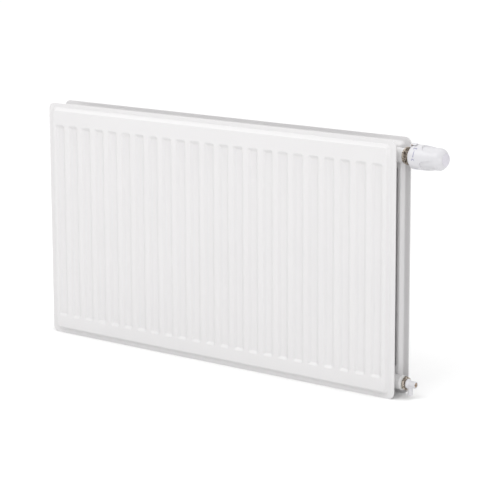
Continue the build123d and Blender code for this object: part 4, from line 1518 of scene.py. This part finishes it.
class RADIATOR_OT_dial(bpy.types.Operator):
    """Print the dial's numbers and the bar between 2 and 3"""

    bl_idname = "radiator.dial"
    bl_label = "Dial"

    def execute(self, context):
        size = context.scene.radiator_head
        radius = extent("handwheel").z / 2
        ring_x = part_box("handwheel")[0].x + 11.2 * MM
        axis = middle("head_union_nut")
        place = Matrix.Translation((ring_x, axis.y, axis.z))
        top = 5
        parts = [
            printed_digit(
                str(number), size.digit_height, radius, size.print_height,
                size.first_digit - number * size.digit_step, place,
            )
            for number in range(top + 1)
        ]
        comfort = size.first_digit - 2 * size.digit_step
        parts.append(
            dial_bar(
                radius, size.print_height, comfort - size.digit_step * 0.20,
                comfort - size.digit_step * 0.80, 1.5 * MM, 0.7 * MM, place,
            )
        )
        dial = joined("printed_dial", parts)
        hang(dial, "head_plastic", [], "handwheel", bpy.data.materials["dial_ink"])
        return {"FINISHED"}


# ---- pieces that stay as they are ----
class RADIATOR_OT_inner_works(bpy.types.Operator):
    """Give the pieces inside the valve, the head and the plugs their finishes"""

    bl_idname = "radiator.inner_works"
    bl_label = "Inner works"

    def execute(self, context):
        made = finishes()
        for row in frame["record"]["subparts"]:
            node = frame["nodes"][row["node"]]
            node.data.materials.clear()
            node.data.materials.append(made[row["material_slot"]])
        return {"FINISHED"}


# ---- stage ----
def soft_light(name, spot, target, width, height, power):
    lamp = bpy.data.lights.new(name, "AREA")
    lamp.shape = "RECTANGLE"
    lamp.size = width
    lamp.size_y = height
    lamp.energy = power
    holder = bpy.data.objects.new(name, lamp)
    bpy.context.scene.collection.objects.link(holder)
    holder.location = spot
    holder.rotation_euler = (Vector(target) - Vector(spot)).to_track_quat("-Z", "Y").to_euler()
    return holder


class RADIATOR_OT_stage(bpy.types.Operator):
    """Set the floor, the lights and the camera"""

    bl_idname = "radiator.stage"
    bl_label = "Stage"

    def execute(self, context):
        look = context.scene.radiator_stage
        scene = context.scene
        scene.view_settings.view_transform = "Standard"

        wide = 40.0
        corners = [(-wide, -wide, 0.0), (wide, -wide, 0.0), (wide, wide, 0.0), (-wide, wide, 0.0)]
        mesh = bpy.data.meshes.new("floor")
        mesh.from_pydata(corners, [], [(0, 1, 2, 3)])
        floor = new_piece("floor", mesh)
        material, board, place = start_finish("plain_floor")
        cloud = noise(board, place, 3.0, 2.0)
        tint = mixed(board, cloud, solid(look.floor, 0.995), solid(look.floor))
        end_finish(board, {"Base Color": tint, "Roughness": 0.9, "Specular IOR Level": 0.0})
        mesh.materials.append(material)
        floor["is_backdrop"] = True

        world = bpy.data.worlds.new("studio")
        world.use_nodes = True
        world.node_tree.nodes.clear()
        board = Board(world.node_tree)
        _, _, height = board.parts(board.add("ShaderNodeTexCoord", output="Generated"))
        strength = look.sky_strength * (0.55 + 0.9 * height.most(0.0))
        light = board.add(
            "ShaderNodeBackground", None, {"Color": solid(look.sky), "Strength": strength}
        )
        board.add("ShaderNodeOutputWorld", None, {"Surface": light})
        scene.world = world

        target = (PANEL_X, GAP_Y, 0.2)
        soft_light("overhead", (PANEL_X - 0.3, GAP_Y - 1.0, 1.5), target, 1.8, 0.8, look.key_power)
        soft_light("side", (PANEL_X + 3.2, GAP_Y - 1.7, 0.6), target, 1.6, 0.8, look.side_power)

        yaw, pitch, roll = 0.666, 0.1839, -0.0037
        stand = Vector((2.2562, -2.7824, 0.9667))
        back = Vector((sin(yaw) * cos(pitch), -cos(yaw) * cos(pitch), sin(pitch)))
        camera = bpy.data.objects.new("camera", bpy.data.cameras.new("camera"))
        scene.collection.objects.link(camera)
        camera.data.lens = look.lens
        camera.data.shift_y = look.shift
        camera.data.clip_end = 200.0
        camera.location = stand + Vector((PANEL_X, GAP_Y, 0.0))
        aim = (-back).to_track_quat("-Z", "Y") @ Matrix.Rotation(roll, 3, "Z").to_quaternion()
        camera.rotation_mode = "QUATERNION"
        camera.rotation_quaternion = aim
        scene.camera = camera
        return {"FINISHED"}


# ---- panel and registration ----
class RADIATOR_PT_panel(bpy.types.Panel):
    """Sizes, colours and steps of the radiator"""

    bl_idname = "RADIATOR_PT_panel"
    bl_label = "Radiator"
    bl_space_type = "VIEW_3D"
    bl_region_type = "UI"
    bl_category = "Radiator"

    def draw(self, context):
        for step in STEPS:
            self.layout.operator(step.bl_idname)
        for name in SETTINGS:
            settings = getattr(context.scene, name)
            box = self.layout.box()
            for key in settings.bl_rna.properties.keys():
                if key not in ("rna_type", "name"):
                    box.prop(settings, key)


STEPS = (
    RADIATOR_OT_inner_works,
    RADIATOR_OT_pressed_sheets,
    RADIATOR_OT_tees,
    RADIATOR_OT_connections,
    RADIATOR_OT_hanging_straps,
    RADIATOR_OT_plugs,
    RADIATOR_OT_drain_spout,
    RADIATOR_OT_valve_insert,
    RADIATOR_OT_union_nut,
    RADIATOR_OT_head_base,
    RADIATOR_OT_handwheel,
    RADIATOR_OT_dial,
    RADIATOR_OT_stage,
)
SETTINGS = {
    "radiator_sheets": SheetSizes,
    "radiator_pipes": PipeSizes,
    "radiator_plugs": PlugSizes,
    "radiator_head": HeadSizes,
    "radiator_colours": FinishColours,
    "radiator_stage": StageLook,
}


def register():
    for name, group in SETTINGS.items():
        bpy.utils.register_class(group)
        setattr(bpy.types.Scene, name, PointerProperty(type=group))
    for step in STEPS:
        bpy.utils.register_class(step)
    bpy.utils.register_class(RADIATOR_PT_panel)


def unregister():
    bpy.utils.unregister_class(RADIATOR_PT_panel)
    for step in reversed(STEPS):
        bpy.utils.unregister_class(step)
    for name, group in SETTINGS.items():
        delattr(bpy.types.Scene, name)
        bpy.utils.unregister_class(group)


def main():
    register()
    for step in STEPS:
        area, name = step.bl_idname.split(".")
        getattr(getattr(bpy.ops, area), name)()
    boxes = {"cad": CAD_BOX, "visual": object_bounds()}
    {key: [list(low), list(high)] for key, (low, high) in boxes.items()}


if __name__ == "__main__":
    main()
